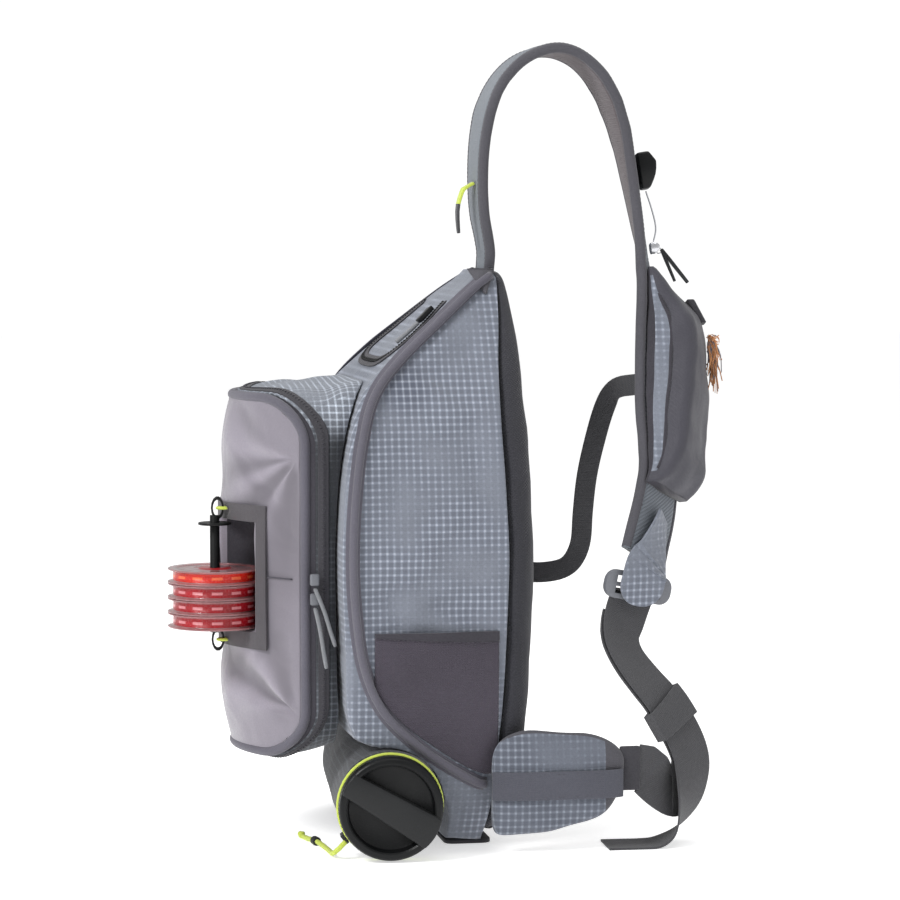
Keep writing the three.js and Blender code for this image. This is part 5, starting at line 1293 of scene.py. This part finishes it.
make_wing()


# Shoulder strap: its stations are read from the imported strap's own cross-sections

STRAP_THICK, STRAP_EDGE, STRAP_RUN, STRAP_FOOT = 8, 5.2, 760, 7
STRAP_START = Vector((27.2, -5.5, 446.8))
STATION_COUNT = 300


def strap_stations():
    """Point, tangent, side, outward direction and half width along the strap, from its sewn end at the bag."""
    bm = merged("strap_pad")
    layer = sorted(bm.verts, key=lambda v: (v.co - STRAP_START * MM).length)[:8]
    seen = set(layer)
    rings = []
    while layer:
        rings.append([v.co / MM for v in layer])
        layer = list({e.other_vert(v) for v in layer for e in v.link_edges} - seen)
        seen.update(layer)
    bm.free()
    rings = [ring for ring in rings if len(ring) == 8]
    centres = [sum(ring, Vector()) / 8 for ring in rings]
    sides = []
    for ring, centre in zip(rings, centres):
        far = max(ring, key=lambda p: (p - centre).length) - centre
        half_ring = sorted(ring, key=lambda p: -(p - centre).dot(far))[:4]
        w = sum(half_ring, Vector()) / 4 - centre
        sides.append(w if w.y > 0 else -w)
    points = curve_through(centres, STATION_COUNT)
    wide = curve_through(sides, STATION_COUNT)
    result = []
    for i, (p, t, w, n) in enumerate(frames_along(points)):
        side = wide[i] - t * wide[i].dot(t)
        half = side.length + STRAP_THICK * 0.15
        side = side.normalized()
        result.append((p, t, side, t.cross(side).normalized(), half))
    return result


STRAP = strap_stations()


def strap_at(share):
    place = clamp(share, 0, 1) * (len(STRAP) - 1)
    low = min(int(place), len(STRAP) - 2)
    *before, half = STRAP[low]
    *after, next_half = STRAP[low + 1]
    return [a.lerp(b, place - low) for a, b in zip(before, after)] + [mix(half, next_half, place - low)]


PANEL_OUT, PANEL_CROWN = 3.7, 0.8


def strap_section(half):
    """Section of the padded strap: (across, out, material) round it."""
    panel = half - STRAP_EDGE
    spans = [mix(-1, 1, i / 12) for i in range(13)]
    outer = [(panel * s, PANEL_OUT + PANEL_CROWN * (1 - s * s), 0) for s in spans]
    right = [
        (panel + 0.3, 3.3, 1), (panel + 0.9, 3.9, 1), (half - 3.5, 4.15, 1), (half - 1.2, 3.4, 1), (half, 1.6, 1),
        (half, -1.6, 1), (half - 1.2, -3.4, 1), (half - 3.5, -4.15, 1), (panel + 0.9, -3.9, 1), (panel + 0.3, -3.3, 2),
    ]
    inner = [(-across, -out, 2) for across, out, index in outer]
    left = [(-across, out, 1) for across, out, index in reversed(right)]
    return outer + right + inner + left


def make_strap():
    last = len(STRAP) - 1
    ring = strap_section(30)
    count = len(ring)

    def point(u, v):
        p, t, w, n, half = STRAP[round(v * last)]
        across, out, index = strap_section(half)[round(u * count) % count]
        if v == 0:
            p = p - t * STRAP_FOOT
        ripple = 0.25 * noise.noise(Vector((across * 0.06, v * 40, out * 0.1)))
        return p + w * across + n * (out + math.copysign(ripple, out))

    bm = spread(point, count, last, wrap=True,
                layer=lambda u, v: Vector((ring[round(u * count) % count][0], v * STRAP_RUN, 0)))

    def part_of(face, at):
        p, t, w, n, half = min(STRAP, key=lambda s: (s[0] - at).length_squared)
        if abs((at - p).dot(w)) > half - STRAP_EDGE + 0.2:
            return 1
        return 2 if (at - p).dot(n) < 0 else 0

    close_ends(painted(bm, part_of))
    strap = piece("shoulder_strap", bm, [strap_cloth, strap_binding, air_cloth], ["strap_pad"])
    sewn = STRAP[4:-4:3]
    threads = []
    for side in (-1, 1):
        line = [p + w * side * (half - STRAP_EDGE + 1.3) + n * 4.25 for p, t, w, n, half in sewn]
        threads.append((stitch_run(line, [n for p, t, w, n, half in sewn]), 0))
    piece("strap_thread", joined(*threads), [thread_dark])

    def yoke(u, v):
        reach = 11 * (1 - 0.9 * v)
        z = mix(BAG_HEIGHT + 1, BAG_HEIGHT - 19, v)
        return off_flank(18 + mix(-reach, reach, u), z, 1.6 + 1.6 * math.sin(math.pi * u))[0]

    piece("strap_yoke", thickened(faced(spread(yoke, 16, 16), -Y), 1.6), [strap_binding])


POUCH_WIDTH, POUCH_DEPTH, POUCH_SEAM, POUCH_SHADED_FOOT, POUCH_ROUND = 52, 38, 0.63, 0.19, 8
# Shares round the pouch's section: a side, a rounded corner, half of the top, and those three together.
SIDE_PART, BEND_PART, TOP_PART, HALF_PART = 0.2, 0.08, 0.135, 0.415
POUCH_ROWS = table(("at", "deep"), (
    (0.638, 0.14), (0.655, 0.34), (0.680, 0.68), (0.702, 0.95), (0.730, 1.04), (0.768, 1.04), (0.808, 0.96),
    (0.842, 0.87), (0.880, 0.74), (0.903, 0.52), (0.914, 0.28),
))


def make_pouch():
    deep = column(POUCH_ROWS, "at", "deep")
    low = STRAP_THICK / 2 + 1.8
    first, final = POUCH_ROWS[0]["at"], POUCH_ROWS[-1]["at"]

    def section(u, high):
        """A box with well rounded outer corners: across, out and share of its height at a share round it."""
        half, r = POUCH_WIDTH / 2, min(POUCH_ROUND, (high - low) * 0.45)
        tall = high - low - r
        q = u if u <= HALF_PART else 2 * HALF_PART - u
        side = -1 if u <= HALF_PART else 1
        if q < 0:
            return mix(half, -half, -q / (1 - 2 * HALF_PART)), low, 0.0
        if q < SIDE_PART:
            return side * half, low + tall * q / SIDE_PART, q / SIDE_PART
        if q < SIDE_PART + BEND_PART:
            angle = math.pi / 2 * (q - SIDE_PART) / BEND_PART
            return side * (half - r * (1 - math.cos(angle))), high - r * (1 - math.sin(angle)), 1.0
        s = (q - SIDE_PART - BEND_PART) / TOP_PART
        return side * (half - r) * (1 - s), high + math.sin(math.pi / 2 * s), 1.0

    def place(u, v):
        at = mix(first, final, v)
        return strap_at(at), section(u, STRAP_THICK / 2 + 0.4 + deep(at) * POUCH_DEPTH)

    def point(u, v):
        (p, t, w, n, half), (across, out, share) = place(u, v)
        return p + w * across + n * out

    def shares(u, v):
        return Vector((place(u, v)[1][2], v, 0)) / MM

    bm = spread(point, 100, 80, wrap=True, layer=shares)
    run = bm.verts.layers.float_vector["run"]
    for face in bm.faces:
        up, v = (sum(vert[run][k] for vert in face.verts) / len(face.verts) for k in (0, 1))
        # Faces low at the pouch's foot, beside the strap, take the dark seam cloth: painted shade between pouch and
        # strap.
        face.material_index = 2 if up < POUCH_SHADED_FOOT else int(up > POUCH_SEAM or not 0.04 <= v <= 0.95)
    close_ends(bm)
    ruffled(bm, 2.0, 20, seed=7.7)
    piece("strap_pouch", bm, [grid_cloth, pouch_cloth, seam_and_shade_cloth], ["strap_pocket"])
    sides = []
    for u in (SIDE_PART * POUCH_SEAM, 2 * HALF_PART - SIDE_PART * POUCH_SEAM):
        line = [point(u, mix(0.05, 0.94, i / 70)) for i in range(71)]
        sides.append((tube(line, 1.5, 8), 0))
        stations = frames_along(curve_through(line, 90))
        sides.append((beads([(p + w, t, w, n) for p, t, w, n in stations], (2, 2, 2)), 1))
    piece("pouch_zip", joined(*sides), [seam_and_shade_cloth, black_tape], ["strap_pocket_zipper"])


def make_webbing():
    for node, name, size in (
        ("tail_webbing", "hanging_webbing", 0.5), ("belt_webbing", "belt", 0.5),
        ("stabiliser_webbing", "stabiliser", 0.5), ("webbing_keeper", "keeper", 0.4),
    ):
        dressed(name, node, webbing_cloth, (size, 2, 60), 1)
    dressed("strap_end_tab", "strap_tab", grid_cloth, (0.5, 2, 60), 1)


def make_strap_tools():
    dressed("buckle", "ladder_buckle", grey_plastic, (0.9, 3, 50), sharp=40)
    tab = subdivided(rounded(merged("strap_loop_tab"), 0.5), 1)
    low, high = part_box("strap_loop_tab")
    painted(tab, lambda face, at: int(at.z * MM < mix(low.z, high.z, 0.6)))
    piece("loop_tab", tab, [lime_cord, webbing_cloth], ["strap_loop_tab"])
    dressed("retractor_case", "retractor", black_plastic, (2.0, 3), 1)
    dressed("retractor_cord", "retractor_wire", bright_steel, levels=2)
    dressed("spring_clip", "tool_clip", bright_steel, (1.0, 3), sharp=50)
    clip, tool = ([vert.co.copy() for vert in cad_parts[name].data.vertices] for name in ("tool_clip", "nipper"))
    near, far = min(((a, b) for a in clip for b in tool), key=lambda pair: (pair[0] - pair[1]).length)
    middle = (near + far) / 2 / MM
    reach = max((near - far).length / MM / 2 + 0.6, 2.2)
    piece("nipper_ring", tube(circle(middle, reach, 24), 0.45, 8, closed=True), [bright_steel])
    second = rounded(merged("nipper"), 0.6, 2)
    turn = Matrix.Translation(far) @ Matrix.Rotation(math.radians(16), 4, "Y") @ Matrix.Scale(0.8, 4)
    shift = Matrix.Translation(Vector((0, -1.6, 0)) * MM)
    bmesh.ops.transform(second, verts=second.verts, matrix=shift @ turn @ Matrix.Translation(-far))
    piece("nipper_tool", joined((rounded(merged("nipper"), 0.6, 2), 0), (second, 0)), [dark_steel],
          ["nipper"], sharp=50)
    dressed("fly_case", "fly_box", black_tape, (1.2, 3))


FIBRE_COUNT = 120


def make_fly():
    """Bunch of fibres tied on the pouch."""
    chance = random.Random(5)
    low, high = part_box("fly")
    centre = (low + high) / 2 / MM
    size = (high - low) / MM
    parts = []
    for i in range(FIBRE_COUNT):
        start = centre + Vector((chance.uniform(-0.3, 0.1) * size.x, chance.uniform(-0.1, 0.1) * size.y,
                                 chance.uniform(0.1, 0.5) * size.z))
        reach = Vector((chance.uniform(-0.1, 0.75) * size.x, chance.uniform(-0.5, 0.5) * size.y,
                        chance.uniform(-1.0, 0.05) * size.z))
        middle = start + reach * 0.5 + Vector((chance.uniform(0, 3), chance.uniform(-2, 2), chance.uniform(-1, 3)))
        path = curve_through([start, middle, start + reach], 8)
        parts.append((tube(path, chance.uniform(0.25, 0.5), 5), 0 if i % 5 else 1))
    piece("fly_fibres", joined(*parts), [fly_fibre, lid_cloth], ["fly"])


make_strap()
make_pouch()
make_webbing()
make_strap_tools()
make_fly()


# Floor and light


def set_stage():
    bm = bmesh.new()
    bmesh.ops.create_grid(bm, x_segments=1, y_segments=1, size=12)
    mesh = mesh_from(bm, "floor")
    material, net, shader, place = start_material("floor_paper")
    grain = net.cloud(place["Object"], 3.0, 2.0)
    net.fill(shader, {
        "Base Color": net.blend(grain, (0.92, 0.92, 0.92, 1), (0.95, 0.95, 0.95, 1)), "Roughness": 0.9,
        "Specular IOR Level": 0.1, "Emission Color": (1, 1, 1, 1), "Emission Strength": FLOOR_GLOW,
    })
    mesh.materials.append(material)
    added("floor", mesh)


def area_light(name, place, target, size, power):
    data = bpy.data.lights.new(name, "AREA")
    data.shape = "DISK"
    data.size = size
    data.energy = power
    light = added(name, data)
    light.location = place
    light.rotation_euler = (Vector(target) - Vector(place)).to_track_quat("-Z", "Y").to_euler()


# Lights: name, place, target, size, power.
LIGHTS = (
    ("key", (-1.9, -1.2, 1.9), (0, 0, 0.25), 0.9, 48), ("fill", (1.9, -1.7, 1.3), (0, 0, 0.3), 1.6, 5),
    ("top", (0.1, 0.2, 2.6), (0, 0, 0), 2.0, 22),
)
WORLD_SEEN, WORLD_LIT, FLOOR_GLOW = 1.05, 0.52, 0.52


def set_light():
    world = bpy.data.worlds.new("studio")
    bpy.context.scene.world = world
    world.use_nodes = True
    net = Net(world.node_tree)
    background = world.node_tree.nodes["Background"]
    net.fill(background, {"Color": (1, 1, 1, 1), "Strength": WORLD_SEEN})
    lit = net.add("Background", {"Color": (1, 1, 1, 1), "Strength": WORLD_LIT})
    seen = net.add("LightPath").outputs["Is Camera Ray"]
    mixed = net.add("MixShader", {0: seen, 1: lit.outputs[0], 2: background.outputs[0]})
    net.fill(world.node_tree.nodes["World Output"], {"Surface": mixed.outputs[0]})
    for light in LIGHTS:
        area_light(*light)
    bpy.context.scene.view_settings.view_transform = "Standard"


set_stage()
set_light()
